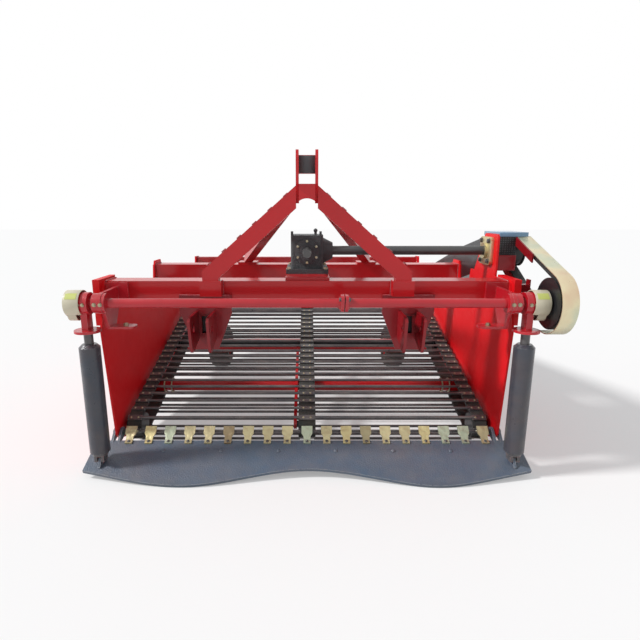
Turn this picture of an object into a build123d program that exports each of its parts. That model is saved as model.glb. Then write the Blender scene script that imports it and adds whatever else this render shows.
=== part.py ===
import os
from math import asin, atan2, cos, degrees, pi, radians, sin, sqrt, tan

from build123d import *

# A two-row potato digger carried on a tractor's three-point hitch, in millimetres.
# X is to the right as seen from the tractor, Y runs back along the machine, Z is up.
# The model is drawn about the machine's centre plane (x = 0), the front beam's front
# face (y = 0) and the ground (z = 0). It is moved to the middle of its floor when saved.

# Side plates
PLATE_GAP = 1630.0
PLATE_T = 8.0
PLATE_TOP = 775.0
PLATE_FRONT_Y = -78.0
PLATE_FRONT_Z = 590.0
PLATE_REAR_Y = 1735.0
PLATE_SKIRT = 22.0

# Cross beams
BEAM_H = 80.0
BEAM_D = 100.0
BEAM_WALL = 6.0
MIDDLE_BEAM_Y = 640.0
REAR_BEAM_Y = 1610.0
REAR_BEAM_SIZE = 50.0
REAR_BEAM_WALL = 4.0
REAR_BEAM_TOP = 728.0

# Hitch
LINK_SPAN = 825.0
LINK_PIN_Z = 600.0
LINK_PIN_Y = -105.0
LINK_PIN_BORE = 29.0
LINK_GAP = 60.0
BRACKET_LAP = 24.0
EAR_T = 11.0
MAST_HEIGHT = 610.0
TOP_PIN_Y = -40.0
TOP_PIN_BORE = 26.0
TOP_GAP = 62.0
LEG_WIDTH = 64.0
LEG_DEPTH = 40.0
LEG_FOOT_X = 383.0
STAY_SIZE = 40.0
STAY_WALL = 4.0

# Gearbox and its shafts
GEAR_Y = 240.0
SHAFT_Z = 880.0
GEARBOX_W = 140.0
GEARBOX_L = 170.0
GEARBOX_TOP = 950.0
MOUNT_PLATE_T = 12.0
PTO_D = 34.9
PTO_REACH = 100.0
CROSS_D = 40.0
TOWER_TOP = 955.0
TOWER_W = 200.0

# Front eccentric shaft and the belt drive down to it
ECC_Y = -150.0
ECC_Z = 712.0
ECC_D = 36.0
UPPER_PULLEY_D = 125.0
LOWER_PULLEY_D = 180.0
BELT_W = 40.0
BELT_T = 10.0
DRIVE_OUT = 87.0
GUARD_T = 4.0
GUARD_GAP = 14.0
GUARD_W = 60.0
FRAME_T = 6.0
CASE_W = 62.0
CASE_FRONT_R = 78.0
CASE_R = 104.0
CASE_BEND_RUN = 846.0
CASE_BEND_Z = 760.0

# Share legs with their free-turning sleeves
LEG_OUT = 13.0
HUB_D = 84.0
HUB_W = 44.0
ROD_D = 34.0
SHIELD_D = 98.0
SHIELD_T = 10.0
SHIELD_Z = 600.0
SLEEVE_D = 78.0
SLEEVE_TOP = 553.0
SLEEVE_BOTTOM = 106.0
COVER_OUT = 82.0
COVER_R = 39.0
COVER_T = 3.0

# Share
SHARE_TIP_Y = -251.0
SHARE_INCLINE = 20.4
SHARE_L = 228.0
SHARE_T = 14.0
SHARE_OVERHANG = 64.0
TIP_X = 454.0
NOTCH = 77.0
WING_FRONT = 68.0
WING_REAR = 166.0
PIVOT_Y = 8.0
PIVOT_Z = 112.0
PIVOT_D = 20.0
LUG_R = 20.0
LUG_T = 10.0
FINGER_COUNT = 19
FINGER_PITCH = 84.5
FINGER_W = 47.0
FINGER_NECK = 30.0
FINGER_L = 62.0
FINGER_T = 6.0
FINGER_INCLINE = 45.0

# Rod web
WEB_FRONT_Y = 91.0
WEB_FRONT_Z = 111.0
WEB_REAR_Y = 1640.0
WEB_REAR_Z = 491.0
FRONT_WHEEL_R = 50.0
DRIVE_WHEEL_R = 70.0
WEB_BELT_T = 10.0
WEB_BELT_W = 60.0
CENTRE_BELT_W = 76.0
ROD_PITCH = 56.0
WEB_ROD_D = 12.0
ROD_END_GAP = 18.0
PAD_W = 22.0
PAD_H = 7.0
PAD_LAP = 6.0
WEB_SHAFT_D = 40.0
CARRIER_R = 30.0
CARRIER_Y = 756.0
LOWER_TUBE_Y = 390.0
LOWER_TUBE_D = 60.0
ARM_T = 14.0
ARM_TAIL = 360.0
ARM_TAIL_R = 18.0

# Rear support wheels
WHEEL_X = 596.0
WHEEL_Y = 1276.0
TYRE_R = 140.0
TYRE_W = 130.0
RIM_R = 82.0
AXLE_D = 25.0
WHEEL_TRAIL = 216.0
AXLE_TUBE_Z = 205.0
AXLE_TUBE_SIZE = 70.0
AXLE_TUBE_WALL = 5.0
FORK_T = 10.0

# Clearances
RUNNING = 0.05
CLEAR = 5.0
SEAT_GAP = 0.3

# Values that follow from the sizes above
PLATE_IN = PLATE_GAP / 2
PLATE_OUT = PLATE_IN + PLATE_T
LEG_X = PLATE_OUT + LEG_OUT
SHARE_HALF_W = LEG_X + SHARE_OVERHANG
COVER_X = PLATE_OUT + COVER_OUT
DRIVE_X = PLATE_OUT + DRIVE_OUT
GUARD_X = DRIVE_X - 10 + GUARD_W
AXLE_TUBE_Y = WHEEL_Y - WHEEL_TRAIL
BEAM_BOTTOM = PLATE_TOP - BEAM_H
TOP_PIN_Z = LINK_PIN_Z + MAST_HEIGHT
MOUNT_TOP = PLATE_TOP + MOUNT_PLATE_T
WEB_PACK = WEB_BELT_T + WEB_ROD_D
SHARE_SLOPE = radians(SHARE_INCLINE)
SHARE_TIP_Z = SHARE_T * cos(SHARE_SLOPE)
WEB_SPAN = sqrt((WEB_REAR_Y - WEB_FRONT_Y) ** 2 + (WEB_REAR_Z - WEB_FRONT_Z) ** 2)
WEB_SLOPE = atan2(WEB_REAR_Z - WEB_FRONT_Z, WEB_REAR_Y - WEB_FRONT_Y)
WEB_FLARE = asin((DRIVE_WHEEL_R - FRONT_WHEEL_R) / WEB_SPAN)
WEB_RUN = WEB_SPAN * cos(WEB_FLARE)
CENTRE_X = (GUARD_X - max(COVER_X, SHARE_HALF_W)) / 2
CENTRE_Y = (SHARE_TIP_Y + PLATE_REAR_Y) / 2


def save(node, shape):
    placed = Pos(-CENTRE_X, -CENTRE_Y, 0) * shape
    placed.label = node
    export_step(placed, "parts/" + node + ".step")


def save_pair(node, right):
    save(node + "_right", right)
    save(node + "_left", mirror(right, about=Plane.YZ))


def block(x0, x1, y0, y1, z0, z1):
    middle = Pos((x0 + x1) / 2, (y0 + y1) / 2, (z0 + z1) / 2)
    return middle * Box(abs(x1 - x0), abs(y1 - y0), abs(z1 - z0))


def bar_x(radius, x0, x1, y, z):
    return Pos((x0 + x1) / 2, y, z) * Rot(0, 90, 0) * Cylinder(radius, abs(x1 - x0))


def bar_y(radius, y0, y1, x, z):
    return Pos(x, (y0 + y1) / 2, z) * Rot(90, 0, 0) * Cylinder(radius, abs(y1 - y0))


def bar_z(radius, z0, z1, x, y):
    return Pos(x, y, (z0 + z1) / 2) * Cylinder(radius, abs(z1 - z0))


def side_plane(x):
    return Plane(origin=(x, 0, 0), x_dir=(0, 1, 0), z_dir=(1, 0, 0))


def front_plane(y):
    return Plane(origin=(0, y, 0), x_dir=(1, 0, 0), z_dir=(0, -1, 0))


def side_sheet(face, x0, x1):
    return extrude(side_plane(min(x0, x1)) * face, amount=abs(x1 - x0))


def front_sheet(face, y0, y1):
    return extrude(front_plane(max(y0, y1)) * face, amount=abs(y1 - y0))


def outline(points):
    return make_face(Polyline(*points, close=True))


def disc(y, z, radius):
    return Pos(y, z) * Circle(radius)


def hull(*discs):
    return make_hull([edge for face in discs for edge in face.edges()])


def pipe_x(size_y, size_z, wall, x0, x1, y, z):
    outer = block(x0, x1, y - size_y / 2, y + size_y / 2, z - size_z / 2, z + size_z / 2)
    inner = block(x0 - 1, x1 + 1, y - size_y / 2 + wall, y + size_y / 2 - wall,
                  z - size_z / 2 + wall, z + size_z / 2 - wall)
    return outer - inner


# Rod web path: the loop round the front idlers and the rear drive wheels

def web_line(y, offset):
    """Height of the upper run at y, offset outward from the belt's inner face."""
    slope = WEB_SLOPE + WEB_FLARE
    reach = FRONT_WHEEL_R + offset
    return WEB_FRONT_Z + (y - WEB_FRONT_Y) * tan(slope) + reach / cos(slope)


def web_under(y, offset):
    """Height of the lower run at y, offset outward from the belt's inner face."""
    slope = WEB_SLOPE - WEB_FLARE
    reach = FRONT_WHEEL_R + offset
    return WEB_FRONT_Z + (y - WEB_FRONT_Y) * tan(slope) - reach / cos(slope)


def web_length(offset):
    front_arc = (pi - 2 * WEB_FLARE) * (FRONT_WHEEL_R + offset)
    rear_arc = (pi + 2 * WEB_FLARE) * (DRIVE_WHEEL_R + offset)
    return 2 * WEB_RUN + front_arc + rear_arc


def web_place(travel, offset):
    """Point (y, z) and outward angle after this travel along the loop."""
    upper = WEB_SLOPE + WEB_FLARE + pi / 2
    lower = WEB_SLOPE - WEB_FLARE - pi / 2
    rear_arc = (upper - lower) * (DRIVE_WHEEL_R + offset)
    if travel < WEB_RUN:
        centre_y = WEB_FRONT_Y + travel * sin(upper) * WEB_SPAN / WEB_RUN * cos(WEB_FLARE)
        turn = upper
        reach = FRONT_WHEEL_R + offset
        start_y = WEB_FRONT_Y + reach * cos(turn)
        start_z = WEB_FRONT_Z + reach * sin(turn)
        return (start_y + travel * sin(turn), start_z - travel * cos(turn), turn)
    travel = travel - WEB_RUN
    if travel < rear_arc:
        turn = upper - travel / (DRIVE_WHEEL_R + offset)
        reach = DRIVE_WHEEL_R + offset
        return (WEB_REAR_Y + reach * cos(turn), WEB_REAR_Z + reach * sin(turn), turn)
    travel = travel - rear_arc
    if travel < WEB_RUN:
        reach = DRIVE_WHEEL_R + offset
        start_y = WEB_REAR_Y + reach * cos(lower)
        start_z = WEB_REAR_Z + reach * sin(lower)
        return (start_y + travel * sin(lower), start_z - travel * cos(lower), lower)
    travel = travel - WEB_RUN
    turn = lower - travel / (FRONT_WHEEL_R + offset)
    reach = FRONT_WHEEL_R + offset
    return (WEB_FRONT_Y + reach * cos(turn), WEB_FRONT_Z + reach * sin(turn), turn)


# Frame

def side_plate(tower):
    lower = web_under(AXLE_TUBE_Y, WEB_PACK) - PLATE_SKIRT
    half_tube = AXLE_TUBE_SIZE / 2
    rear_low = web_under(WEB_REAR_Y, WEB_PACK) - PLATE_SKIRT
    skirt_front = web_under(WEB_FRONT_Y + 60, WEB_PACK) - PLATE_SKIRT
    points = [
        (-12, PLATE_TOP),
        (PLATE_FRONT_Y, PLATE_FRONT_Z),
        (PIVOT_Y - LUG_R - 14, PIVOT_Z),
        (PIVOT_Y - 10, PIVOT_Z - LUG_R - 6),
        (WEB_FRONT_Y + 60, skirt_front),
        (AXLE_TUBE_Y - 150, web_under(AXLE_TUBE_Y - 150, WEB_PACK) - PLATE_SKIRT),
        (AXLE_TUBE_Y - half_tube - 20, AXLE_TUBE_Z - half_tube - 10),
        (AXLE_TUBE_Y + half_tube + 20, AXLE_TUBE_Z - half_tube - 10),
        (AXLE_TUBE_Y + 190, web_under(AXLE_TUBE_Y + 190, WEB_PACK) - PLATE_SKIRT),
        (WEB_REAR_Y, rear_low),
        (PLATE_REAR_Y, rear_low + 40),
        (PLATE_REAR_Y, REAR_BEAM_TOP - 50),
        (PLATE_REAR_Y - 60, REAR_BEAM_TOP + 4),
        (MIDDLE_BEAM_Y + BEAM_D + 60, PLATE_TOP),
    ]
    face = fillet(outline(points).vertices(), 18)
    if tower:
        foot_y = GEAR_Y - TOWER_W / 2
        head = [
            (foot_y, PLATE_TOP - 60),
            (foot_y, TOWER_TOP),
            (foot_y + TOWER_W * 0.75, TOWER_TOP),
            (foot_y + TOWER_W * 1.5, PLATE_TOP - 60),
        ]
        face = face + fillet(outline(head).vertices().sort_by(Axis.Y)[2:], 20)
    plate = side_sheet(face, PLATE_IN, PLATE_OUT)
    plate = plate - bar_x(PIVOT_D / 2 + RUNNING, PLATE_IN - 1, PLATE_OUT + 1, PIVOT_Y, PIVOT_Z)
    plate = plate - bar_x(WEB_SHAFT_D / 2 + 4, PLATE_IN - 1, PLATE_OUT + 1, WEB_REAR_Y, WEB_REAR_Z)
    if tower:
        plate = plate - bar_x(CROSS_D / 2 + CLEAR, PLATE_IN - 1, PLATE_OUT + 1, GEAR_Y, SHAFT_Z)
    flange = block(PLATE_OUT, PLATE_OUT + 27, -45, 130, PLATE_TOP - 175, PLATE_TOP + 10)
    flange = flange - block(PLATE_OUT + 8, PLATE_OUT + 28, -35, 120, PLATE_TOP - 176, PLATE_TOP + 2)
    lug = block(PLATE_OUT, COVER_X - 41, -75, -45, ECC_Z - 32, ECC_Z + 18)
    return plate + flange + lug


def cross_beam(y, top, depth, height, wall):
    return pipe_x(depth, height, wall, -PLATE_IN, PLATE_IN, y + depth / 2, top - height / 2)


def lower_tube():
    z = (web_line(LOWER_TUBE_Y, 0) + web_under(LOWER_TUBE_Y, 0)) / 2
    tube = bar_x(LOWER_TUBE_D / 2, -PLATE_IN, PLATE_IN, LOWER_TUBE_Y, z)
    return tube - bar_x(LOWER_TUBE_D / 2 - 5, -PLATE_IN, PLATE_IN, LOWER_TUBE_Y, z)


def centre_arm():
    tube_z = (web_line(LOWER_TUBE_Y, 0) + web_under(LOWER_TUBE_Y, 0)) / 2
    tail_y = LOWER_TUBE_Y + ARM_TAIL
    tail_z = (web_line(tail_y, 0) + web_under(tail_y, 0)) / 2
    face = hull(disc(WEB_FRONT_Y, WEB_FRONT_Z, 24), disc(LOWER_TUBE_Y, tube_z, LOWER_TUBE_D / 2 + 11))
    face = face + hull(disc(LOWER_TUBE_Y, tube_z, LOWER_TUBE_D / 2 + 11), disc(tail_y, tail_z, ARM_TAIL_R))
    x1 = -CENTRE_BELT_W / 2 - 8
    arm = side_sheet(face, x1 - ARM_T, x1)
    arm = arm - bar_x(LOWER_TUBE_D / 2, x1 - ARM_T - 1, x1 + 1, LOWER_TUBE_Y, tube_z)
    return arm - bar_x(AXLE_D / 2, x1 - ARM_T - 1, x1 + 1, WEB_FRONT_Y, WEB_FRONT_Z)


# Hitch

def mast_leg():
    head_x = TOP_GAP / 2
    head_z = TOP_PIN_Z - 97
    foot_z = PLATE_TOP + 30
    low_z = BEAM_BOTTOM + BRACKET_LAP
    lean = atan2(head_z - foot_z, LEG_FOOT_X - head_x)
    half = LEG_WIDTH / 2
    shift = half * tan((pi / 2 - lean) / 2)
    outer_top = (head_x + EAR_T, head_z + half / cos(lean) - EAR_T * tan(lean))
    inner_top = (head_x + EAR_T, head_z - half / cos(lean) - EAR_T * tan(lean))
    points = [
        (LEG_FOOT_X + half, low_z),
        (LEG_FOOT_X + half, foot_z + shift),
        outer_top,
        inner_top,
        (LEG_FOOT_X - half, foot_z - shift),
        (LEG_FOOT_X - half, low_z),
    ]
    return front_sheet(outline(points), -LEG_DEPTH, 0)


def mast_foot():
    half = LEG_WIDTH / 2
    z0 = BEAM_BOTTOM + BRACKET_LAP
    z1 = PLATE_TOP + 6
    outer = block(LEG_FOOT_X - half - 11, LEG_FOOT_X + half + 11, -LEG_DEPTH - 8, 0, z0, z1)
    inner = block(LEG_FOOT_X - half, LEG_FOOT_X + half, -LEG_DEPTH, 1, z0 - 1, z1 + 1)
    return outer - inner


def mast_head():
    x0 = TOP_GAP / 2
    top = TOP_PIN_Z + 62
    low = TOP_PIN_Z - 130
    ear = outline([(0, low), (0, top - 10), (-20, top), (-62, top), (-74, top - 30), (-74, low + 70)])
    ears = side_sheet(ear, x0, x0 + EAR_T) + side_sheet(ear, -x0 - EAR_T, -x0)
    back = block(-x0, x0, -12, 0, TOP_PIN_Z - 20, TOP_PIN_Z + 48)
    web = block(-x0, x0, -62, -50, low, TOP_PIN_Z - 60)
    arch = bar_y(x0 + 20, -63, -49, 0, low - 34)
    head = ears + back + (web - arch)
    return head - bar_x(TOP_PIN_BORE / 2, -60, 60, TOP_PIN_Y, TOP_PIN_Z)


def mast_stay():
    top = Vector(62, -20, TOP_PIN_Z - 122)
    foot = Vector(320, MIDDLE_BEAM_Y + 30, PLATE_TOP + STAY_SIZE / 2 + 4)
    run = foot - top
    plane = Plane(origin=top, z_dir=run)
    bore = STAY_SIZE - 2 * STAY_WALL
    ring = plane * (Rectangle(STAY_SIZE, STAY_SIZE) - Rectangle(bore, bore))
    stay = extrude(ring, amount=run.length)
    pad = block(270, 370, MIDDLE_BEAM_Y + 4, MIDDLE_BEAM_Y + BEAM_D - 4, PLATE_TOP, PLATE_TOP + 12)
    stay = stay - block(0, PLATE_IN, -LEG_DEPTH, WEB_REAR_Y, 0, PLATE_TOP + 6)
    stay = stay - block(-TOP_GAP, PLATE_IN, -LEG_WIDTH * 3, 0, PLATE_TOP, TOP_PIN_Z)
    return stay + pad


def link_bracket():
    x = LINK_SPAN / 2
    half = LINK_GAP / 2
    top = BEAM_BOTTOM - 40
    low = LINK_PIN_Z - 88
    front = LINK_PIN_Y - 60
    face = outline([(-12, top), (front + 12, top), (front, top - 14), (front + 22, low + 18),
                    (front + 34, low), (front + 56, low), (-12, low + 30)])
    ears = side_sheet(face, x + half, x + half + EAR_T) + side_sheet(face, x - half - EAR_T, x - half)
    cap = block(x - half, x + half, front + 40, -12, top - EAR_T, top)
    back = outline([(x - 106, BEAM_BOTTOM + BRACKET_LAP), (x + 106, BEAM_BOTTOM + BRACKET_LAP), (x + 106, top - 10),
                    (x + 46, low - 20), (x - 46, low - 20), (x - 106, top - 10)])
    bracket = ears + cap + front_sheet(back, -12, 0)
    return bracket - bar_x(LINK_PIN_BORE / 2, x - 80, x + 80, LINK_PIN_Y, LINK_PIN_Z)


# Gearbox and upper shafts

def gear_mount():
    return block(-88, 92, 20, MIDDLE_BEAM_Y + BEAM_D - 20, PLATE_TOP, MOUNT_TOP)


def gearbox():
    half = GEARBOX_W / 2
    y0 = GEAR_Y - GEARBOX_L / 2
    y1 = GEAR_Y + GEARBOX_L / 2
    body = fillet(block(-half, half, y0, y1, MOUNT_TOP, GEARBOX_TOP).edges().filter_by(Axis.Z), 14)
    feet = block(-half - 20, half + 22, y0 - 24, y1 + 24, MOUNT_TOP, MOUNT_TOP + 20)
    hub = Pos(half, GEAR_Y, SHAFT_Z) * Rot(0, 90, 0) * Cone(58, 36, 44, align=(Align.CENTER, Align.CENTER, Align.MIN))
    nose = bar_y(34, y0 - 12, y0, 0, SHAFT_Z)
    ears = block(-half, -half + 10, y0 + 20, y0 + 44, GEARBOX_TOP, GEARBOX_TOP + 16)
    ears = ears + block(half - 16, half - 6, y0 + 20, y0 + 44, GEARBOX_TOP, GEARBOX_TOP + 16)
    vent = bar_z(6, GEARBOX_TOP, GEARBOX_TOP + 14, 38, GEAR_Y) + Pos(38, GEAR_Y, GEARBOX_TOP + 18) * Sphere(9)
    case = body + feet + hub + nose + ears + vent
    case = case - bar_y(PTO_D / 2 + 2 + RUNNING, y0 - 13, GEAR_Y - 40, 0, SHAFT_Z)
    return case - bar_x(CROSS_D / 2 + RUNNING, 20, half + 50, GEAR_Y, SHAFT_Z)


def pto_shaft():
    y0 = GEAR_Y - GEARBOX_L / 2
    inner = bar_y(PTO_D / 2 + 2, y0 - 16, GEAR_Y - 45, 0, SHAFT_Z)
    return inner + bar_y(PTO_D / 2, y0 - PTO_REACH, y0 - 16, 0, SHAFT_Z)


def cross_shaft():
    return bar_x(CROSS_D / 2, 25, DRIVE_X + BELT_W + 8, GEAR_Y, SHAFT_Z)


def grooved_pulley(radius, bore):
    groove = BELT_W / 4
    width = BELT_W + 8
    wheel = bar_x(radius + 6, DRIVE_X - 4, DRIVE_X - 4 + width, 0, 0)
    track = bar_x(radius + 7, DRIVE_X - SEAT_GAP, DRIVE_X + BELT_W + SEAT_GAP, 0, 0)
    wheel = wheel - (track - bar_x(radius - SEAT_GAP, DRIVE_X - 5, DRIVE_X + BELT_W + 5, 0, 0))
    return wheel - bar_x(bore, DRIVE_X - 5, DRIVE_X + width, 0, 0)


def belt_loop(inner_offset, outer_offset, x0, x1):
    top = (GEAR_Y, SHAFT_Z, UPPER_PULLEY_D / 2)
    low = (ECC_Y, ECC_Z, LOWER_PULLEY_D / 2)
    outer = hull(disc(top[0], top[1], top[2] + outer_offset), disc(low[0], low[1], low[2] + outer_offset))
    inner = hull(disc(top[0], top[1], top[2] + inner_offset), disc(low[0], low[1], low[2] + inner_offset))
    return side_sheet(outer - inner, x0, x1)


def guard_strap():
    inner = BELT_T + GUARD_GAP
    strap = belt_loop(inner, inner + GUARD_T, DRIVE_X - 10, GUARD_X)
    run_y = GEAR_Y - ECC_Y
    run_z = SHAFT_Z - ECC_Z
    cut = outline([(ECC_Y + 10, ECC_Z - 150), (ECC_Y + run_y + 300, ECC_Z - 150),
                   (GEAR_Y + 300, SHAFT_Z + 60), (GEAR_Y + 20, SHAFT_Z + 40),
                   (ECC_Y + 60, ECC_Z - 30)])
    top_cut = block(DRIVE_X - 20, GUARD_X + 5, GEAR_Y + 10, GEAR_Y + 200, SHAFT_Z - 10, SHAFT_Z + 150)
    return strap - side_sheet(cut, DRIVE_X - 20, GUARD_X + 5) - top_cut


def guard_frame():
    inner = BELT_T + GUARD_GAP
    x0 = DRIVE_X - 10 - FRAME_T
    x1 = DRIVE_X - 10
    ring = belt_loop(inner - 30, inner + GUARD_T, x0, x1)
    ring = ring - block(x0 - 1, x1 + 1, ECC_Y - 200, -14, ECC_Z - 200, ECC_Z + 300)
    post = block(x0, x1, -14, 16, ECC_Z - 78, ECC_Z + 70)
    foot = block(PLATE_OUT + 27, x0, -14, 16, ECC_Z + 20, ECC_Z + 50)
    pad = block(PLATE_OUT + CASE_W, x0, GEAR_Y + 24, GEAR_Y + 54, SHAFT_Z + 48, SHAFT_Z + 68)
    return ring + post + foot + pad


def bearing_unit():
    half = 61
    flange = fillet(outline([(GEAR_Y - half, SHAFT_Z - half), (GEAR_Y + half, SHAFT_Z - half),
                             (GEAR_Y + half, SHAFT_Z + half), (GEAR_Y - half, SHAFT_Z + half)]).vertices(), 16)
    unit = side_sheet(flange, PLATE_IN - 16, PLATE_IN)
    unit = unit + bar_x(42, PLATE_IN - 40, PLATE_IN - 16, GEAR_Y, SHAFT_Z)
    unit = unit - bar_x(CROSS_D / 2 + RUNNING, PLATE_IN - 50, PLATE_IN + 1, GEAR_Y, SHAFT_Z)
    bolt = bar_x(8, PLATE_IN - 28, PLATE_IN - 16, GEAR_Y - 46, SHAFT_Z - 46)
    for dy in (0, 92):
        for dz in (0, 92):
            unit = unit + Pos(0, dy, dz) * bolt
    return unit


# Front eccentric shaft, its bearings, legs and sleeves

def front_shaft():
    right = DRIVE_X + BELT_W + 8
    shaft = bar_x(ECC_D / 2, -LEG_X - HUB_W / 2 - 12, right, ECC_Y, ECC_Z)
    collar = bar_x(ECC_D / 2 + 6, 120, 160, ECC_Y, ECC_Z)
    face = hull(disc(ECC_Y - 36, ECC_Z + 20, 14), disc(ECC_Y + 36, ECC_Z - 20, 14), disc(ECC_Y, ECC_Z, 34))
    flange = side_sheet(face, 126, 138) + side_sheet(face, 142, 154)
    return shaft + collar + flange


def shaft_bearing():
    x0 = PLATE_IN - 52
    x1 = x0 + 14
    face = hull(disc(ECC_Y, ECC_Z, 40), disc(-20, BEAM_BOTTOM + 30, 30))
    face = face + outline([(ECC_Y + 4, ECC_Z - 40), (ECC_Y + 30, ECC_Z - 108),
                           (ECC_Y + 90, ECC_Z - 108), (0, BEAM_BOTTOM), (-20, ECC_Z)])
    face = face & outline([(-400, 0), (0, 0), (0, 1200), (-400, 1200)])
    arm = side_sheet(face, x0, x1)
    ring = bar_x(38, x0 - 12, x1 + 22, ECC_Y, ECC_Z)
    foot = block(x0 - 40, PLATE_IN, -12, 0, BEAM_BOTTOM + 4, PLATE_TOP - 4)
    tab = block(x0 - 92, x0, ECC_Y + 30, ECC_Y + 90, ECC_Z - 108, ECC_Z - 100)
    tab = fillet(tab.edges().filter_by(Axis.Z).group_by(Axis.X)[0], 24)
    unit = arm + ring + foot + tab
    return unit - bar_x(ECC_D / 2 + RUNNING, x0 - 20, x1 + 30, ECC_Y, ECC_Z)


def share_leg():
    hub = bar_x(HUB_D / 2, LEG_X - HUB_W / 2, LEG_X + HUB_W / 2, ECC_Y, ECC_Z)
    neck = block(LEG_X - 12, LEG_X + 12, ECC_Y - 22, ECC_Y + 22, SHIELD_Z + SHIELD_T, ECC_Z - 20)
    shield = bar_z(SHIELD_D / 2, SHIELD_Z, SHIELD_Z + SHIELD_T, LEG_X, ECC_Y)
    rod = bar_z(ROD_D / 2, SLEEVE_BOTTOM - 14, SHIELD_Z + SHIELD_T, LEG_X, ECC_Y)
    collar = bar_z(30, SLEEVE_BOTTOM - 14, SLEEVE_BOTTOM - 1, LEG_X, ECC_Y)
    low = share_top(ECC_Y) + 14
    fork = block(LEG_X - 19, LEG_X + 19, ECC_Y - 20, ECC_Y + 20, low, SLEEVE_BOTTOM - 10)
    slot = block(LEG_X - LUG_T / 2 - 3, LEG_X + LUG_T / 2 + 3, ECC_Y - 21, ECC_Y + 21, low - 1, SLEEVE_BOTTOM - 20)
    leg = hub + neck + shield + rod + collar + (fork - slot)
    return leg - bar_x(ECC_D / 2 + RUNNING, LEG_X - HUB_W, LEG_X + HUB_W, ECC_Y, ECC_Z)


def leg_sleeve():
    body = bar_z(SLEEVE_D / 2, SLEEVE_BOTTOM, SLEEVE_TOP, LEG_X, ECC_Y)
    body = chamfer(body.edges().group_by(Axis.Z)[-1], 12)
    return body - bar_z(ROD_D / 2 + RUNNING, SLEEVE_BOTTOM - 1, SLEEVE_TOP + 1, LEG_X, ECC_Y)


def shaft_cover(through):
    x0 = LEG_X + HUB_W / 2 + 6
    shape = hull(disc(ECC_Y, ECC_Z, COVER_R), disc(ECC_Y + 6, ECC_Z - 42, 26))
    inner = hull(disc(ECC_Y, ECC_Z, COVER_R - COVER_T), disc(ECC_Y + 6, ECC_Z - 42, 26 - COVER_T))
    cover = side_sheet(shape, x0, COVER_X - 8) - side_sheet(inner, x0 - 1, COVER_X - 8 - COVER_T)
    strap = block(x0, x0 + COVER_T, ECC_Y + 30, -45, ECC_Z - 32, ECC_Z + 18)
    cover = cover + strap
    hole = ECC_D / 2 + CLEAR
    if through:
        cover = cover - bar_x(hole, x0 - 1, COVER_X, ECC_Y, ECC_Z)
    return cover - bar_x(hole, x0 - 1, x0 + COVER_T, ECC_Y, ECC_Z)


# Share

def share_top(y):
    return SHARE_TIP_Z + (y - SHARE_TIP_Y) * tan(SHARE_SLOPE)


def share_plane():
    normal = (0, -sin(SHARE_SLOPE), cos(SHARE_SLOPE))
    return Plane(origin=(0, SHARE_TIP_Y, SHARE_TIP_Z), x_dir=(1, 0, 0), z_dir=normal)


def share_blade():
    rear_half = PLATE_IN - 12
    edge = Spline((-SHARE_HALF_W, WING_FRONT), (-TIP_X, 0), (0, NOTCH), (TIP_X, 0),
                  (SHARE_HALF_W, WING_FRONT), tangents=[(1, -0.22), (1, 0.22)])
    rest = Polyline((SHARE_HALF_W, WING_FRONT), (SHARE_HALF_W, WING_REAR), (rear_half + 40, SHARE_L),
                    (-rear_half - 40, SHARE_L), (-SHARE_HALF_W, WING_REAR), (-SHARE_HALF_W, WING_FRONT))
    face = make_face([edge, *rest.edges()])
    return extrude(share_plane() * face, amount=-SHARE_T)


def share_lug(x0):
    base_y = SHARE_TIP_Y + SHARE_L * cos(SHARE_SLOPE)
    face = hull(disc(PIVOT_Y, PIVOT_Z, LUG_R), disc(base_y - 12, share_top(base_y - 12) - 7, 5))
    lug = side_sheet(face, x0, x0 + LUG_T)
    return lug - bar_x(PIVOT_D / 2 + RUNNING, x0 - 1, x0 + LUG_T + 1, PIVOT_Y, PIVOT_Z)


def leg_lug():
    top = SLEEVE_BOTTOM - 28
    base = share_top(ECC_Y) - 6
    face = outline([(ECC_Y - 30, base), (ECC_Y + 30, base + 12), (ECC_Y + 12, top), (ECC_Y - 12, top)])
    return side_sheet(face, LEG_X - LUG_T / 2, LEG_X + LUG_T / 2)


def share():
    inner = PLATE_IN - CLEAR - LUG_T
    outer = PLATE_OUT + CLEAR
    side = share_lug(inner) + share_lug(outer) + leg_lug()
    return share_blade() + side + mirror(side, about=Plane.YZ)


def share_finger():
    rear_y = SHARE_TIP_Y + SHARE_L * cos(SHARE_SLOPE)
    rear_z = share_top(rear_y)
    lean = radians(FINGER_INCLINE)
    plane = Plane(origin=(0, rear_y, rear_z), x_dir=(1, 0, 0), z_dir=(0, -sin(lean), cos(lean)))
    neck = FINGER_NECK / 2
    head = FINGER_W / 2
    face = outline([(-neck, 0), (neck, 0), (neck, FINGER_L * 0.25), (head, FINGER_L * 0.48),
                    (head, FINGER_L), (-head, FINGER_L), (-head, FINGER_L * 0.48),
                    (-neck, FINGER_L * 0.25)])
    blade = extrude(plane * face, amount=FINGER_T)
    foot_plane = share_plane()
    foot = extrude(foot_plane * (Pos(0, SHARE_L - 10) * Rectangle(FINGER_NECK, 20)), amount=FINGER_T)
    return blade + foot


def share_fingers():
    first = -(FINGER_COUNT - 1) / 2 * FINGER_PITCH
    one = share_finger()
    return Compound([Pos(first + k * FINGER_PITCH, 0, 0) * one for k in range(FINGER_COUNT)])


def pivot_pin():
    return bar_x(PIVOT_D / 2, PLATE_IN - CLEAR - LUG_T - 6, PLATE_OUT + CLEAR + LUG_T + 6, PIVOT_Y, PIVOT_Z)


# Rod web

def belt_centres():
    side = PLATE_IN - ROD_END_GAP - WEB_BELT_W / 2 - 4
    return [(-side, WEB_BELT_W), (0, CENTRE_BELT_W), (side, WEB_BELT_W)]


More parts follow.
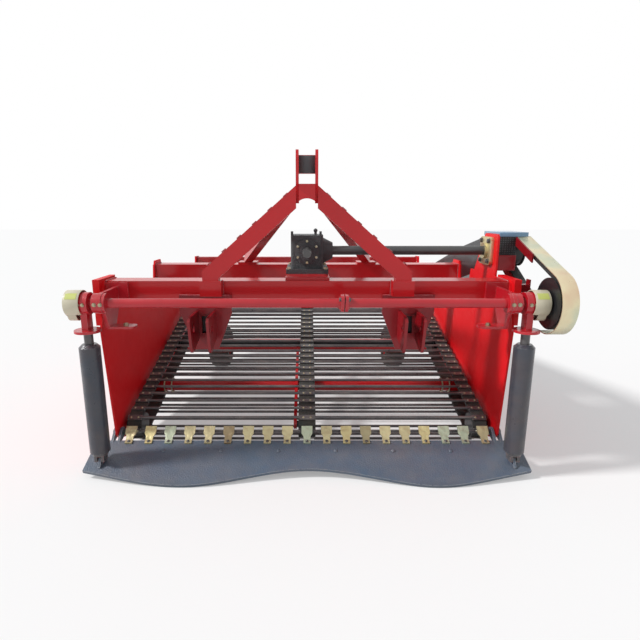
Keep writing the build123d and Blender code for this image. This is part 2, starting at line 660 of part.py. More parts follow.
def web_loop(inner, outer):
    front = (WEB_FRONT_Y, WEB_FRONT_Z)
    rear = (WEB_REAR_Y, WEB_REAR_Z)
    big = hull(disc(*front, FRONT_WHEEL_R + outer), disc(*rear, DRIVE_WHEEL_R + outer))
    small = hull(disc(*front, FRONT_WHEEL_R + inner), disc(*rear, DRIVE_WHEEL_R + inner))
    return big - small


def web_belts():
    ring = web_loop(0, WEB_BELT_T)
    return Compound([side_sheet(ring, x - width / 2, x + width / 2) for x, width in belt_centres()])


def web_rod():
    left, middle, right = belt_centres()
    inner = middle[1] / 2 - PAD_LAP
    outer = right[0] - right[1] / 2 + PAD_LAP
    stretch = bar_x(WEB_ROD_D / 2, inner, outer, 0, WEB_ROD_D / 2)
    rod = stretch + mirror(stretch, about=Plane.YZ)
    for x, width in (left, middle, right):
        rod = rod + block(x - width / 2, x + width / 2, -PAD_W / 2, PAD_W / 2, 0, PAD_H)
    return rod


def web_rods():
    length = web_length(WEB_BELT_T)
    count = round(length / ROD_PITCH)
    one = web_rod()
    rods = []
    for k in range(count):
        y, z, turn = web_place((k + 0.5) * length / count, WEB_BELT_T)
        rods.append(Pos(0, y, z) * Rot(degrees(turn) - 90, 0, 0) * one)
    return Compound(rods)


def web_idlers():
    rollers = []
    for x, width in belt_centres():
        wheel = bar_x(FRONT_WHEEL_R - SEAT_GAP, x - width / 2, x + width / 2, WEB_FRONT_Y, WEB_FRONT_Z)
        if x < 0:
            wheel = wheel + bar_x(AXLE_D / 2, -PLATE_IN, x, WEB_FRONT_Y, WEB_FRONT_Z)
        if x > 0:
            wheel = wheel + bar_x(AXLE_D / 2, x, PLATE_IN, WEB_FRONT_Y, WEB_FRONT_Z)
        if x == 0:
            end = -CENTRE_BELT_W / 2 - 8 - ARM_T
            wheel = wheel + bar_x(AXLE_D / 2, end, 0, WEB_FRONT_Y, WEB_FRONT_Z)
        rollers.append(wheel)
    return Compound(rollers)


def web_carriers():
    z = web_line(CARRIER_Y, -SEAT_GAP) - CARRIER_R / cos(WEB_SLOPE + WEB_FLARE)
    shaft = bar_x(AXLE_D / 2, -PLATE_IN, PLATE_IN, CARRIER_Y, z)
    for x, width in belt_centres():
        shaft = shaft + bar_x(CARRIER_R, x - width / 2, x + width / 2, CARRIER_Y, z)
    return shaft


def web_drive():
    shaft = bar_x(WEB_SHAFT_D / 2, -PLATE_OUT - 20, PLATE_OUT + 30, WEB_REAR_Y, WEB_REAR_Z)
    for x, width in belt_centres():
        shaft = shaft + bar_x(DRIVE_WHEEL_R - SEAT_GAP, x - width / 2, x + width / 2, WEB_REAR_Y, WEB_REAR_Z)
    return shaft


def drive_bearing():
    ring = bar_x(46, PLATE_OUT, PLATE_OUT + 16, WEB_REAR_Y, WEB_REAR_Z)
    return ring - bar_x(WEB_SHAFT_D / 2, PLATE_OUT - 1, PLATE_OUT + 17, WEB_REAR_Y, WEB_REAR_Z)


def chain_case():
    bend = disc(GEAR_Y + CASE_BEND_RUN, CASE_BEND_Z, CASE_R)
    face = hull(disc(GEAR_Y, SHAFT_Z, CASE_FRONT_R), bend)
    face = face + hull(bend, disc(WEB_REAR_Y, WEB_REAR_Z, CASE_R))
    case = side_sheet(face, PLATE_OUT, PLATE_OUT + CASE_W)
    case = case - bar_x(CROSS_D / 2 + CLEAR, PLATE_OUT - 1, PLATE_OUT + CASE_W + 1, GEAR_Y, SHAFT_Z)
    return case - bar_x(WEB_SHAFT_D / 2, PLATE_OUT - 1, PLATE_OUT + 30, WEB_REAR_Y, WEB_REAR_Z)


# Rear wheels

def axle_tube():
    size = AXLE_TUBE_SIZE
    tube = pipe_x(size, size, AXLE_TUBE_WALL, -PLATE_IN, PLATE_IN, AXLE_TUBE_Y, AXLE_TUBE_Z)
    for side in (-1, 1):
        for edge in (-1, 1):
            x = side * WHEEL_X + edge * (TYRE_W / 2 + 15 + FORK_T / 2)
            face = hull(disc(AXLE_TUBE_Y + size / 2 + 20, AXLE_TUBE_Z, 34), disc(WHEEL_Y, TYRE_R, 26))
            face = face & outline([(AXLE_TUBE_Y + size / 2, 0), (2000, 0), (2000, 400),
                                   (AXLE_TUBE_Y + size / 2, 400)])
            tube = tube + side_sheet(face, x - FORK_T / 2, x + FORK_T / 2)
        axle_half = TYRE_W / 2 + 15 + FORK_T + 8
        tube = tube + bar_x(AXLE_D / 2, side * WHEEL_X - axle_half, side * WHEEL_X + axle_half, WHEEL_Y, TYRE_R)
    return tube


def wheel_tyre():
    half = TYRE_W / 2
    tyre = bar_x(TYRE_R, WHEEL_X - half, WHEEL_X + half, WHEEL_Y, TYRE_R)
    tyre = chamfer(tyre.edges(), 22)
    return tyre - bar_x(RIM_R, WHEEL_X - half - 1, WHEEL_X + half + 1, WHEEL_Y, TYRE_R)


def wheel_rim():
    half = TYRE_W / 2 - 12
    rim = bar_x(RIM_R, WHEEL_X - half, WHEEL_X + half, WHEEL_Y, TYRE_R)
    for edge in (-1, 1):
        rim = rim - bar_x(RIM_R - 10, WHEEL_X + edge * 20, WHEEL_X + edge * (half + 1), WHEEL_Y, TYRE_R)
    hub = bar_x(24, WHEEL_X - TYRE_W / 2 - 8, WHEEL_X + TYRE_W / 2 + 8, WHEEL_Y, TYRE_R)
    return rim + hub - bar_x(AXLE_D / 2 + RUNNING, WHEEL_X - 200, WHEEL_X + 200, WHEEL_Y, TYRE_R)


def main():
    os.makedirs("parts", exist_ok=True)
    save("side_plate_right", side_plate(True))
    save("side_plate_left", mirror(side_plate(False), about=Plane.YZ))
    save("front_beam", cross_beam(0, PLATE_TOP, BEAM_D, BEAM_H, BEAM_WALL))
    save("middle_beam", cross_beam(MIDDLE_BEAM_Y, PLATE_TOP, BEAM_D, BEAM_H, BEAM_WALL))
    save("rear_beam", cross_beam(REAR_BEAM_Y, REAR_BEAM_TOP, REAR_BEAM_SIZE, REAR_BEAM_SIZE, REAR_BEAM_WALL))
    save("lower_tube", lower_tube())
    save("centre_arm", centre_arm())
    save_pair("mast_leg", mast_leg())
    save_pair("mast_foot", mast_foot())
    save("mast_head", mast_head())
    save_pair("mast_stay", mast_stay())
    save_pair("link_bracket", link_bracket())
    save("gearbox_mount", gear_mount())
    save("gearbox", gearbox())
    save("pto_shaft", pto_shaft())
    save("cross_shaft", cross_shaft())
    save("cross_shaft_bearing", bearing_unit())
    save("upper_pulley", Pos(0, GEAR_Y, SHAFT_Z) * grooved_pulley(UPPER_PULLEY_D / 2, CROSS_D / 2))
    save("lower_pulley", Pos(0, ECC_Y, ECC_Z) * grooved_pulley(LOWER_PULLEY_D / 2, ECC_D / 2))
    save("drive_belt", belt_loop(0, BELT_T, DRIVE_X, DRIVE_X + BELT_W))
    save("belt_guard", guard_strap())
    save("guard_frame", guard_frame())
    save("front_shaft", front_shaft())
    save_pair("shaft_bearing", shaft_bearing())
    save_pair("share_leg", share_leg())
    save_pair("leg_sleeve", leg_sleeve())
    save("shaft_cover_right", shaft_cover(True))
    save("shaft_cover_left", mirror(shaft_cover(False), about=Plane.YZ))
    save("share", share())
    save("share_fingers", share_fingers())
    save_pair("pivot_pin", pivot_pin())
    save("web_belts", web_belts())
    save("web_rods", web_rods())
    save("web_idlers", web_idlers())
    save("web_carriers", web_carriers())
    save("web_drive", web_drive())
    save("web_drive_bearing", mirror(drive_bearing(), about=Plane.YZ))
    save("chain_case", chain_case())
    save("axle_tube", axle_tube())
    save_pair("wheel_tyre", wheel_tyre())
    save_pair("wheel_rim", wheel_rim())


main()
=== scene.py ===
from math import atan2, cos, degrees, pi, radians, sin

import bmesh
import bpy
from mathutils import Matrix, Vector


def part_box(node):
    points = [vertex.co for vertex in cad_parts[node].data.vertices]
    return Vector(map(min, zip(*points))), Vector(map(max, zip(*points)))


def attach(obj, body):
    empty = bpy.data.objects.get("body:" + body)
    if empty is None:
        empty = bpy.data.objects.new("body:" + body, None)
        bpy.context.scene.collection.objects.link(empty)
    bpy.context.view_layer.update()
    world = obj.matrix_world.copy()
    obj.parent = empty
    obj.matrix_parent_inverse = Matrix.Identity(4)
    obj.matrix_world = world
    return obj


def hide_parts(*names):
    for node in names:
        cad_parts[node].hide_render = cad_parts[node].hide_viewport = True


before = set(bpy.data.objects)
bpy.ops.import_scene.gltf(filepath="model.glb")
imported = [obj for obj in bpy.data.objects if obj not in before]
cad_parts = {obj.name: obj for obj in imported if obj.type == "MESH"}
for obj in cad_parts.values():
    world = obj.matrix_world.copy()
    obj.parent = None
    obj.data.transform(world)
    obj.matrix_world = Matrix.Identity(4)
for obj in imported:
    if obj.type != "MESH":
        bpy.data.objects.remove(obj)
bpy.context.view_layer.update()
bpy.ops.object.select_all(action="DESELECT")
print("frame loaded:", len(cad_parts), "nodes")

# The machine's own zero is its centre plane and the front beam's front face, on the floor
beamLow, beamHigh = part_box("front_beam")
centreX = (beamLow.x + beamHigh.x) / 2
frontY = beamLow.y
plateIn = (beamHigh.x - beamLow.x) / 2
# Height of the cross shaft and the input shaft, and where the cross shaft lies
shaftZ, crossY = 0.880, 0.240
# The eccentric shaft
eccentricY, eccentricZ = -0.150, 0.712


def at(x, y, z):
    return Vector((centreX + x, frontY + y, z))


def addNode(tree, kind, inputs=None, **settings):
    node = tree.nodes.new("ShaderNode" + kind)
    for name, value in settings.items():
        setattr(node, name, value)
    for name, value in (inputs or {}).items():
        if isinstance(value, bpy.types.NodeSocket):
            tree.links.new(value, node.inputs[name])
        else:
            node.inputs[name].default_value = value
    return node


def combine(tree, operation, *values):
    return addNode(tree, "Math", dict(enumerate(values)), operation=operation).outputs[0]


def spread(tree, value, fromMin, fromMax, toMin=0.0, toMax=1.0):
    return addNode(tree, "MapRange", {"Value": value, "From Min": fromMin, "From Max": fromMax, "To Min": toMin,
                                      "To Max": toMax}).outputs[0]


def mixColour(tree, factor, first, second):
    return addNode(tree, "Mix", {"Factor": factor, "A": first, "B": second}, data_type="RGBA").outputs["Result"]


def cloud(tree, place, scale, detail, roughness=0.5):
    return addNode(tree, "TexNoise", {"Vector": place, "Scale": scale, "Detail": detail,
                                      "Roughness": roughness}).outputs["Fac"]


def objectPlace(tree):
    return addNode(tree, "TexCoord").outputs["Object"]


def part(tree, vector, axis):
    return addNode(tree, "SeparateXYZ", {"Vector": vector}).outputs[axis]


def newGroup(name, ins, outs):
    group = bpy.data.node_groups.new(name, "ShaderNodeTree")
    for label, value in ins.items():
        kind = "Color" if isinstance(value, tuple) else "Float"
        socket = group.interface.new_socket(name=label, in_out="INPUT", socket_type="NodeSocket" + kind)
        socket.default_value = value
    for label in outs:
        kind = "Color" if label == "Colour" else "Float"
        group.interface.new_socket(name=label, in_out="OUTPUT", socket_type="NodeSocket" + kind)
    return group, group.nodes.new("NodeGroupInput").outputs, group.nodes.new("NodeGroupOutput").inputs


def useGroup(tree, group, inputs):
    return addNode(tree, "Group", inputs, node_tree=group).outputs


def rgba(colour):
    return (*colour, 1.0)


# Shader groups that several finishes share

edgeLook = {"samples": 4, "flat": 0.995, "sharp": 0.86, "detail": 4.0, "rough": 0.65, "level": 0.78, "fade": 0.08}


def makeEdgeWear():
    look = edgeLook
    group, source, out = newGroup("edgeWear", {"Radius": 0.003, "Grain": 60.0, "Amount": 0.4}, ["Mask"])
    normal = addNode(group, "NewGeometry").outputs["Normal"]
    rounded = addNode(group, "Bevel", {"Radius": source["Radius"]}, samples=look["samples"]).outputs["Normal"]
    bend = addNode(group, "VectorMath", {0: rounded, 1: normal}, operation="DOT_PRODUCT").outputs["Value"]
    edge = spread(group, bend, look["flat"], look["sharp"])
    noise = cloud(group, objectPlace(group), source["Grain"], look["detail"], look["rough"])
    level = combine(group, "SUBTRACT", look["level"], source["Amount"])
    patch = spread(group, noise, level, combine(group, "ADD", level, look["fade"]))
    group.links.new(combine(group, "MULTIPLY", edge, patch), out["Mask"])
    return group


toneLook = {"detail": 6.0, "rough": 0.6, "from": 0.35, "to": 0.7, "fine": 35.0, "fineDetail": 3.0,
            "middle": 0.5}


def makeSurfaceTone():
    look = toneLook
    group, source, out = newGroup("surfaceTone", {
        "Colour": (1, 1, 1, 1), "Second": (0, 0, 0, 1), "Scale": 6.0, "Amount": 0.3, "Roughness": 0.4, "Swing": 0.1,
    }, ["Colour", "Roughness"])
    place = objectPlace(group)
    noise = cloud(group, place, source["Scale"], look["detail"], look["rough"])
    share = spread(group, noise, look["from"], look["to"], 0.0, source["Amount"])
    fine = cloud(group, place, look["fine"], look["fineDetail"])
    swing = combine(group, "SUBTRACT", fine, look["middle"])
    swing = combine(group, "MULTIPLY_ADD", swing, source["Swing"], source["Roughness"])
    group.links.new(mixColour(group, share, source["Colour"], source["Second"]), out["Colour"])
    group.links.new(swing, out["Roughness"])
    return group


dustLook = {"above": 0.12, "down": -0.2, "up": 0.9, "under": 0.35, "detail": 8.0, "rough": 0.7, "from": 0.42,
            "to": 0.72}


def makeFieldDust():
    look = dustLook
    group, source, out = newGroup("fieldDust", {"Top": 0.5, "Amount": 0.3, "Grain": 18.0}, ["Mask"])
    place = objectPlace(group)
    mask = spread(group, part(group, place, "Z"), 0.0, source["Top"], 1.0, look["above"])
    rise = part(group, addNode(group, "NewGeometry").outputs["Normal"], "Z")
    facingUp = spread(group, rise, look["down"], look["up"], look["under"], 1.0)
    noise = cloud(group, place, source["Grain"], look["detail"], look["rough"])
    patch = spread(group, noise, look["from"], look["to"])
    for factor in (facingUp, patch, source["Amount"]):
        mask = combine(group, "MULTIPLY", mask, factor)
    group.links.new(mask, out["Mask"])
    return group


bumpDetail = {"fine": 3.0, "wave": 1.0}


def makeFineBump():
    group, source, out = newGroup("fineBump", {"Scale": 400.0, "Wave": 2.5, "Grain": 0.3}, ["Height"])
    place = objectPlace(group)
    fine = cloud(group, place, source["Scale"], bumpDetail["fine"])
    fine = combine(group, "MULTIPLY", fine, source["Grain"])
    wave = cloud(group, place, source["Wave"], bumpDetail["wave"])
    group.links.new(combine(group, "ADD", fine, wave), out["Height"])
    return group


edgeWear = makeEdgeWear()
surfaceTone = makeSurfaceTone()
fieldDust = makeFieldDust()
fineBump = makeFineBump()

dustColour = (0.30, 0.22, 0.15)
bareSteel = (0.34, 0.33, 0.32)
primer = (0.16, 0.03, 0.03)

# What a finish has unless it says otherwise
usualLook = {"coat": 0.0, "coatRough": 0.12, "metal": 0.0, "specular": 0.5, "edge": 0.0025, "edgeGrain": 70.0,
             "dustTop": 0.7, "dustGrain": 16.0, "dustRough": 0.85, "fine": 300.0, "grain": 0.12, "waveUp": 1.5,
             "relief": 0.5, "toneAmount": 0.85, "swing": 0.16}

# What each finish is: base and second tone, roughness, metal, coat, wear and dust
finishes = {
    "redPaint": {"base": (0.52, 0.0015, 0.006), "second": (0.42, 0.001, 0.004), "rough": 0.42, "coat": 0.55,
                 "specular": 0.25, "wear": (0.50, 0.14, 0.13), "wearAmount": 0.2, "dust": 0.04, "wave": 2.2,
                 "bump": 0.008},
    # A lighter copy of the red paint for the side plates: painted sunlight
    "litPlatePaint": {"base": (0.76, 0.003, 0.008), "second": (0.64, 0.002, 0.006), "rough": 0.50, "coat": 0.15,
                   "specular": 0.25, "coatRough": 0.4, "wear": (0.52, 0.16, 0.15), "wearAmount": 0.2,
                   "dust": 0.04, "wave": 2.2, "bump": 0.006},
    # The lid's blue is a painted reflection of the sky on its black paint
    "lidSkyReflection": {"base": (0.13, 0.27, 0.42), "second": (0.10, 0.20, 0.32), "rough": 0.34, "coat": 0.6,
                 "wear": (0.3, 0.34, 0.38), "wearAmount": 0.2, "dust": 0.12, "wave": 5.0, "bump": 0.008},
    # A darker copy of the red paint: painted shade on the link ears, the guard ring and the tower panel
    "shadedRedPaint": {"base": (0.27, 0.003, 0.008), "second": (0.17, 0.002, 0.006), "rough": 0.40, "coat": 0.35,
                     "specular": 0.25, "wear": primer, "wearAmount": 0.25, "dust": 0.05, "wave": 2.2,
                     "bump": 0.010},
    "pinkRedPaint": {"base": (0.50, 0.008, 0.018), "second": (0.38, 0.006, 0.014), "rough": 0.36, "coat": 0.6,
                     "specular": 0.3, "wear": (0.42, 0.16, 0.16), "wearAmount": 0.34, "dust": 0.1, "wave": 5.0,
                     "bump": 0.012},
    "castGrey": {"base": (0.040, 0.044, 0.050), "second": (0.060, 0.064, 0.070), "rough": 0.55, "coat": 0.1,
                 "wear": (0.2, 0.2, 0.2), "wearAmount": 0.22, "dust": 0.25, "wave": 8.0, "bump": 0.03,
                 "fine": 260.0, "grain": 0.8},
    "darkSteel": {"base": (0.075, 0.078, 0.084), "second": (0.11, 0.105, 0.10), "rough": 0.38, "metal": 0.55,
                  "wear": bareSteel, "wearAmount": 0.3, "dust": 0.15, "wave": 6.0, "bump": 0.01},
    "blackPaint": {"base": (0.009, 0.010, 0.012), "second": (0.016, 0.016, 0.018), "rough": 0.36, "coat": 0.2,
                   "specular": 0.3, "wear": (0.13, 0.13, 0.13), "wearAmount": 0.2, "dust": 0.08, "wave": 3.0,
                   "bump": 0.01},
    "creamPaint": {"base": (0.62, 0.57, 0.43), "second": (0.52, 0.47, 0.34), "rough": 0.45, "coat": 0.2,
                   "wear": (0.3, 0.25, 0.2), "wearAmount": 0.25, "dust": 0.25, "wave": 4.0, "bump": 0.012},
    "sleevePaint": {"base": (0.034, 0.042, 0.060), "second": (0.062, 0.048, 0.052), "rough": 0.30, "coat": 0.4,
                    "specular": 0.4, "wear": (0.24, 0.25, 0.26), "wearAmount": 0.3, "dust": 0.18, "wave": 9.0,
                    "bump": 0.02},
    "labelStrip": {"base": (0.56, 0.60, 0.15), "second": (0.48, 0.52, 0.20), "rough": 0.4, "coat": 0.1,
                   "wear": (0.7, 0.7, 0.6), "wearAmount": 0.2, "dust": 0.1, "wave": 4.0, "bump": 0.006},
    "tyreRubber": {"base": (0.022, 0.022, 0.023), "second": (0.055, 0.045, 0.036), "rough": 0.75,
                   "wear": (0.05, 0.05, 0.05), "wearAmount": 0.3, "dust": 0.55, "wave": 12.0, "bump": 0.03,
                   "fine": 220.0, "grain": 0.9},
    "beltRubber": {"base": (0.014, 0.014, 0.015), "second": (0.03, 0.03, 0.03), "rough": 0.62,
                   "wear": (0.05, 0.05, 0.05), "wearAmount": 0.3, "dust": 0.25, "wave": 12.0, "bump": 0.02,
                   "fine": 320.0, "grain": 0.8},
    "webRubber": {"base": (0.017, 0.020, 0.020), "second": (0.040, 0.042, 0.040), "rough": 0.60,
                  "wear": (0.07, 0.07, 0.065), "wearAmount": 0.35, "dust": 0.3, "wave": 14.0, "bump": 0.025,
                  "fine": 420.0, "grain": 0.9},
    "rodSteel": {"base": (0.085, 0.082, 0.090), "second": (0.20, 0.175, 0.165), "rough": 0.30, "metal": 0.5,
                 "wear": (0.26, 0.26, 0.25), "wearAmount": 0.35, "dust": 0.15, "wave": 10.0, "bump": 0.012},
    "boltZinc": {"base": (0.42, 0.36, 0.22), "second": (0.30, 0.28, 0.22), "rough": 0.36, "metal": 0.9,
                 "wear": (0.5, 0.48, 0.44), "wearAmount": 0.3, "dust": 0.2, "wave": 20.0, "bump": 0.01},
    "weldRed": {"base": (0.42, 0.012, 0.024), "second": (0.28, 0.010, 0.018), "rough": 0.45, "coat": 0.3,
                "wear": (0.4, 0.16, 0.15), "wearAmount": 0.35, "dust": 0.15, "wave": 20.0, "bump": 0.02},
}
# The leg's rod is bare steel below its shield
finishes["legPaint"] = {**finishes["pinkRedPaint"], "bareBelow": 0.599, "bareFade": 0.001,
                        "bare": (0.085, 0.080, 0.082)}


def emptyMaterial(name):
    material = bpy.data.materials.new(name)
    material.use_nodes = True
    material.node_tree.nodes.clear()
    return material, material.node_tree


def finishMaterial(material, colour, roughness, look):
    # worn edges, then dust, over the colour that comes in
    tree = material.node_tree
    wear = useGroup(tree, edgeWear, {"Radius": look["edge"], "Grain": look["edgeGrain"],
                                     "Amount": look["wearAmount"]})["Mask"]
    dust = useGroup(tree, fieldDust, {"Top": look["dustTop"], "Amount": look["dust"],
                                      "Grain": look["dustGrain"]})["Mask"]
    height = useGroup(tree, fineBump, {"Scale": look["fine"], "Wave": look["wave"] * look["waveUp"],
                                       "Grain": look["grain"]})["Height"]
    worn = mixColour(tree, wear, colour, rgba(look["wear"]))
    rough = addNode(tree, "Mix", {"Factor": dust, "A": roughness, "B": look["dustRough"]}, data_type="FLOAT")
    bump = addNode(tree, "Bump", {"Strength": look["relief"], "Distance": look["bump"], "Height": height})
    shader = addNode(tree, "BsdfPrincipled", {
        "Base Color": mixColour(tree, dust, worn, rgba(dustColour)), "Roughness": rough.outputs["Result"],
        "Metallic": look["metal"], "Coat Weight": look["coat"], "Coat Roughness": look["coatRough"],
        "Specular IOR Level": look["specular"], "Normal": bump.outputs["Normal"],
    })
    addNode(tree, "OutputMaterial", {"Surface": shader.outputs["BSDF"]})
    return material


def tonedColour(tree, look):
    return useGroup(tree, surfaceTone, {"Colour": rgba(look["base"]), "Second": rgba(look["second"]),
                                        "Scale": look.get("toneScale", look["wave"]), "Amount": look["toneAmount"],
                                        "Roughness": look["rough"], "Swing": look["swing"]})


def paintMaterial(name, look):
    look = {**usualLook, **look}
    material, tree = emptyMaterial(name)
    tone = tonedColour(tree, look)
    colour = tone["Colour"]
    if "bareBelow" in look:
        bare = spread(tree, part(tree, objectPlace(tree), "Z"), look["bareBelow"] - look["bareFade"],
                      look["bareBelow"], 1.0, 0.0)
        colour = mixColour(tree, bare, colour, rgba(look["bare"]))
    return finishMaterial(material, colour, tone["Roughness"], look)


# Yellow zinc shifts from straw to green and rose over its surface
zincLooks = {
    "guardZinc": {"cloud": 5.0, "rough": 0.34, "metal": 0.75, "wear": (0.6, 0.58, 0.52), "wearAmount": 0.25,
                  "dust": 0.12, "wave": 3.0, "bump": 0.012,
                  "stops": [(0.32, (0.66, 0.60, 0.38)), (0.46, (0.60, 0.62, 0.46)), (0.56, (0.74, 0.66, 0.44)),
                            (0.70, (0.68, 0.50, 0.34))]},
    "bearingZinc": {"cloud": 14.0, "rough": 0.36, "metal": 0.7, "wear": (0.6, 0.58, 0.52), "wearAmount": 0.25,
                    "dust": 0.12, "wave": 8.0, "bump": 0.012,
                    "stops": [(0.35, (0.52, 0.42, 0.24)), (0.5, (0.62, 0.55, 0.32)), (0.62, (0.54, 0.50, 0.36)),
                              (0.72, (0.40, 0.30, 0.18))]},
    "fingerZinc": {"pitch": 0.0845, "rough": 0.42, "metal": 0.55, "wear": (0.5, 0.46, 0.36), "wearAmount": 0.25,
                   "dust": 0.2, "wave": 25.0, "bump": 0.012,
                   "stops": [(0.0, (0.60, 0.53, 0.30)), (0.22, (0.30, 0.23, 0.13)), (0.38, (0.54, 0.47, 0.27)),
                             (0.55, (0.47, 0.52, 0.38)), (0.68, (0.38, 0.33, 0.19)), (0.80, (0.64, 0.55, 0.28)),
                             (0.93, (0.42, 0.43, 0.43))]},
}
zincGrain = {"cloudDetail": 3.0, "cloudRough": 0.55, "fine": 45.0, "fineDetail": 5.0, "from": 0.3, "to": 0.7,
             "smoother": 0.08, "rougher": 0.12}


def zincMaterial(name, look):
    look = {**usualLook, **look}
    material, tree = emptyMaterial(name)
    place = objectPlace(tree)
    if "pitch" in look:
        # each finger of the row has a tint of its own, from its place along the row
        step = combine(tree, "ADD", part(tree, place, "X"), -centreX)
        step = combine(tree, "ROUND", combine(tree, "DIVIDE", step, look["pitch"]))
        value = addNode(tree, "TexWhiteNoise", {"W": step}, noise_dimensions="1D").outputs["Value"]
    else:
        value = cloud(tree, place, look["cloud"], zincGrain["cloudDetail"], zincGrain["cloudRough"])
    ramp = addNode(tree, "ValToRGB", {"Fac": value})
    ramp.color_ramp.interpolation = "CONSTANT" if "pitch" in look else "LINEAR"
    while len(ramp.color_ramp.elements) < len(look["stops"]):
        ramp.color_ramp.elements.new(0.5)
    for element, (position, colour) in zip(ramp.color_ramp.elements, look["stops"]):
        element.position = position
        element.color = rgba(colour)
    fine = cloud(tree, place, zincGrain["fine"], zincGrain["fineDetail"])
    rough = spread(tree, fine, zincGrain["from"], zincGrain["to"], look["rough"] - zincGrain["smoother"],
                   look["rough"] + zincGrain["rougher"])
    return finishMaterial(material, ramp.outputs["Color"], rough, look)


# Grey plate paint with cloudy blue patches that are painted sky reflection, darker towards the bottom edge
shareLook = {"base": (0.064, 0.108, 0.165), "second": (0.120, 0.126, 0.155), "toneScale": 3.2, "toneAmount": 0.9,
             "rough": 0.42, "swing": 0.2, "wear": (0.33, 0.34, 0.36), "wearAmount": 0.4, "dust": 0.16, "wave": 6.0,
             "bump": 0.012, "coat": 0.15, "edge": 0.004, "fine": 200.0, "grain": 0.5, "bandWobble": 9.0,
             "bandWobbleDetail": 6.0, "bandWobbleHeight": 0.02, "lowColour": (0.055, 0.085, 0.12), "lowBand": (0.024, 0.032),
             "lowAmount": 0.55}


def shareMaterial(name):
    look = {**usualLook, **shareLook}
    material, tree = emptyMaterial(name)
    tone = tonedColour(tree, look)
    place = objectPlace(tree)
    # The share darkens towards its bottom edge, below a height that wobbles with a cloud
    bandWobble = cloud(tree, place, look["bandWobble"], look["bandWobbleDetail"])
    height = combine(tree, "MULTIPLY_ADD", bandWobble, look["bandWobbleHeight"], part(tree, place, "Z"))
    edge = spread(tree, height, *look["lowBand"], look["lowAmount"], 0.0)
    dark = mixColour(tree, edge, tone["Colour"], rgba(look["lowColour"]))
    return finishMaterial(material, dark, tone["Roughness"], look)


materials = {name: paintMaterial(name, look) for name, look in finishes.items()}
materials.update({name: zincMaterial(name, look) for name, look in zincLooks.items()})
materials["sharePaintAndReflection"] = shareMaterial("sharePaintAndReflection")
print("finishes made:", len(materials))

# Which nodes of the frame get which finish; the others are redPaint
finishNodes = {
    "castGrey": ["gearbox"],
    "darkSteel": ["pto_shaft", "cross_shaft", "pivot_pin_right", "pivot_pin_left"],
    "bearingZinc": ["cross_shaft_bearing"],
    "blackPaint": ["upper_pulley", "lower_pulley", "web_idlers", "web_carriers", "web_drive", "web_drive_bearing",
                   "chain_case"],
    "beltRubber": ["drive_belt"],
    "guardZinc": ["belt_guard"],
    # The link ears and the guard's frame take the darker copy of the red paint, as painted shade
    "shadedRedPaint": ["guard_frame", "link_bracket_right", "link_bracket_left"],
    "pinkRedPaint": ["front_shaft", "shaft_bearing_right", "shaft_bearing_left"],
    "legPaint": ["share_leg_right", "share_leg_left"],
    "sleevePaint": ["leg_sleeve_right", "leg_sleeve_left"],
    "creamPaint": ["shaft_cover_right", "shaft_cover_left"],
    # the share's paint carries painted sky reflection in its blue patches
    "sharePaintAndReflection": ["share"],
    "fingerZinc": ["share_fingers"],
    "webRubber": ["web_belts"],
    "rodSteel": ["web_rods"],
    "tyreRubber": ["wheel_tyre_right", "wheel_tyre_left"],
    # The side plates take the lighter copy of the red paint, as painted sunlight
    "litPlatePaint": ["side_plate_right", "side_plate_left"],
}
nodeFinish = {node: finish for finish, nodes in finishNodes.items() for node in nodes}


def dress(piece, finish):
    piece.data.materials.clear()
    piece.data.materials.append(materials[finish])
    for face in piece.data.polygons:
        face.material_index = 0


for node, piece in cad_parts.items():
    dress(piece, nodeFinish.get(node, "redPaint"))
print("frame dressed")

sides = (("right", 1), ("left", -1))


def activeOnly(piece):
    bpy.ops.object.select_all(action="DESELECT")
    piece.select_set(True)
    bpy.context.view_layer.objects.active = piece


def editAll(piece):
    activeOnly(piece)
    bpy.ops.object.mode_set(mode="EDIT")
    bpy.ops.mesh.select_all(action="SELECT")


def pickFaces(piece, test):
    activeOnly(piece)
    bpy.ops.object.mode_set(mode="EDIT")
    bpy.ops.mesh.select_mode(type="FACE")
    bpy.ops.mesh.select_all(action="DESELECT")
    bpy.ops.object.mode_set(mode="OBJECT")
    for face in piece.data.polygons:
        face.select = bool(test(face.center, face.normal))
    bpy.ops.object.mode_set(mode="EDIT")


# How near a face's normal has to be to a direction
nearlySame = 0.9


def facing(*direction):
    # a test for the faces that look one way
    return lambda centre, normal: normal.dot(Vector(direction)) > nearlySame


def leaveEdit():
    bpy.ops.object.mode_set(mode="OBJECT")


def insetFace(piece, direction, inset, move=0.0):
    # inset the faces that look one way, and move them that way
    pickFaces(piece, facing(*direction))
    bpy.ops.mesh.inset(thickness=inset)
    if move:
        bpy.ops.transform.translate(value=Vector(direction) * move)
    leaveEdit()


def placeInMesh(piece):
    activeOnly(piece)
    bpy.ops.object.transform_apply(location=True, rotation=True, scale=True)


def applied(piece, kind, **settings):
    # one modifier, set and applied
    modifier = piece.modifiers.new(kind.lower(), kind)
    for name, value in settings.items():
        setattr(modifier, name, value)
    activeOnly(piece)
    bpy.ops.object.modifier_apply(modifier=modifier.name)


def joined(pieces):
    bpy.ops.object.select_all(action="DESELECT")
    for piece in pieces:
        piece.select_set(True)
    bpy.context.view_layer.objects.active = pieces[0]
    bpy.ops.object.join()
    return bpy.context.view_layer.objects.active


def handOver(piece, name, finish, body="chassis", smooth=35):
    placeInMesh(piece)
    piece.name = name
    dress(piece, finish)
    bpy.ops.object.shade_smooth_by_angle(angle=radians(smooth))
    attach(piece, body)


def copyTo(template, place, axis, size=1.0):
    # a copy with its own mesh, its local Z along the axis
    copy = template.copy()
    copy.data = template.data.copy()
    bpy.context.scene.collection.objects.link(copy)
    turn = Vector(axis).to_track_quat("Z", "Y").to_matrix().to_4x4()
    copy.data.transform(Matrix.Translation(place) @ turn @ Matrix.Scale(size, 4))
    return copy


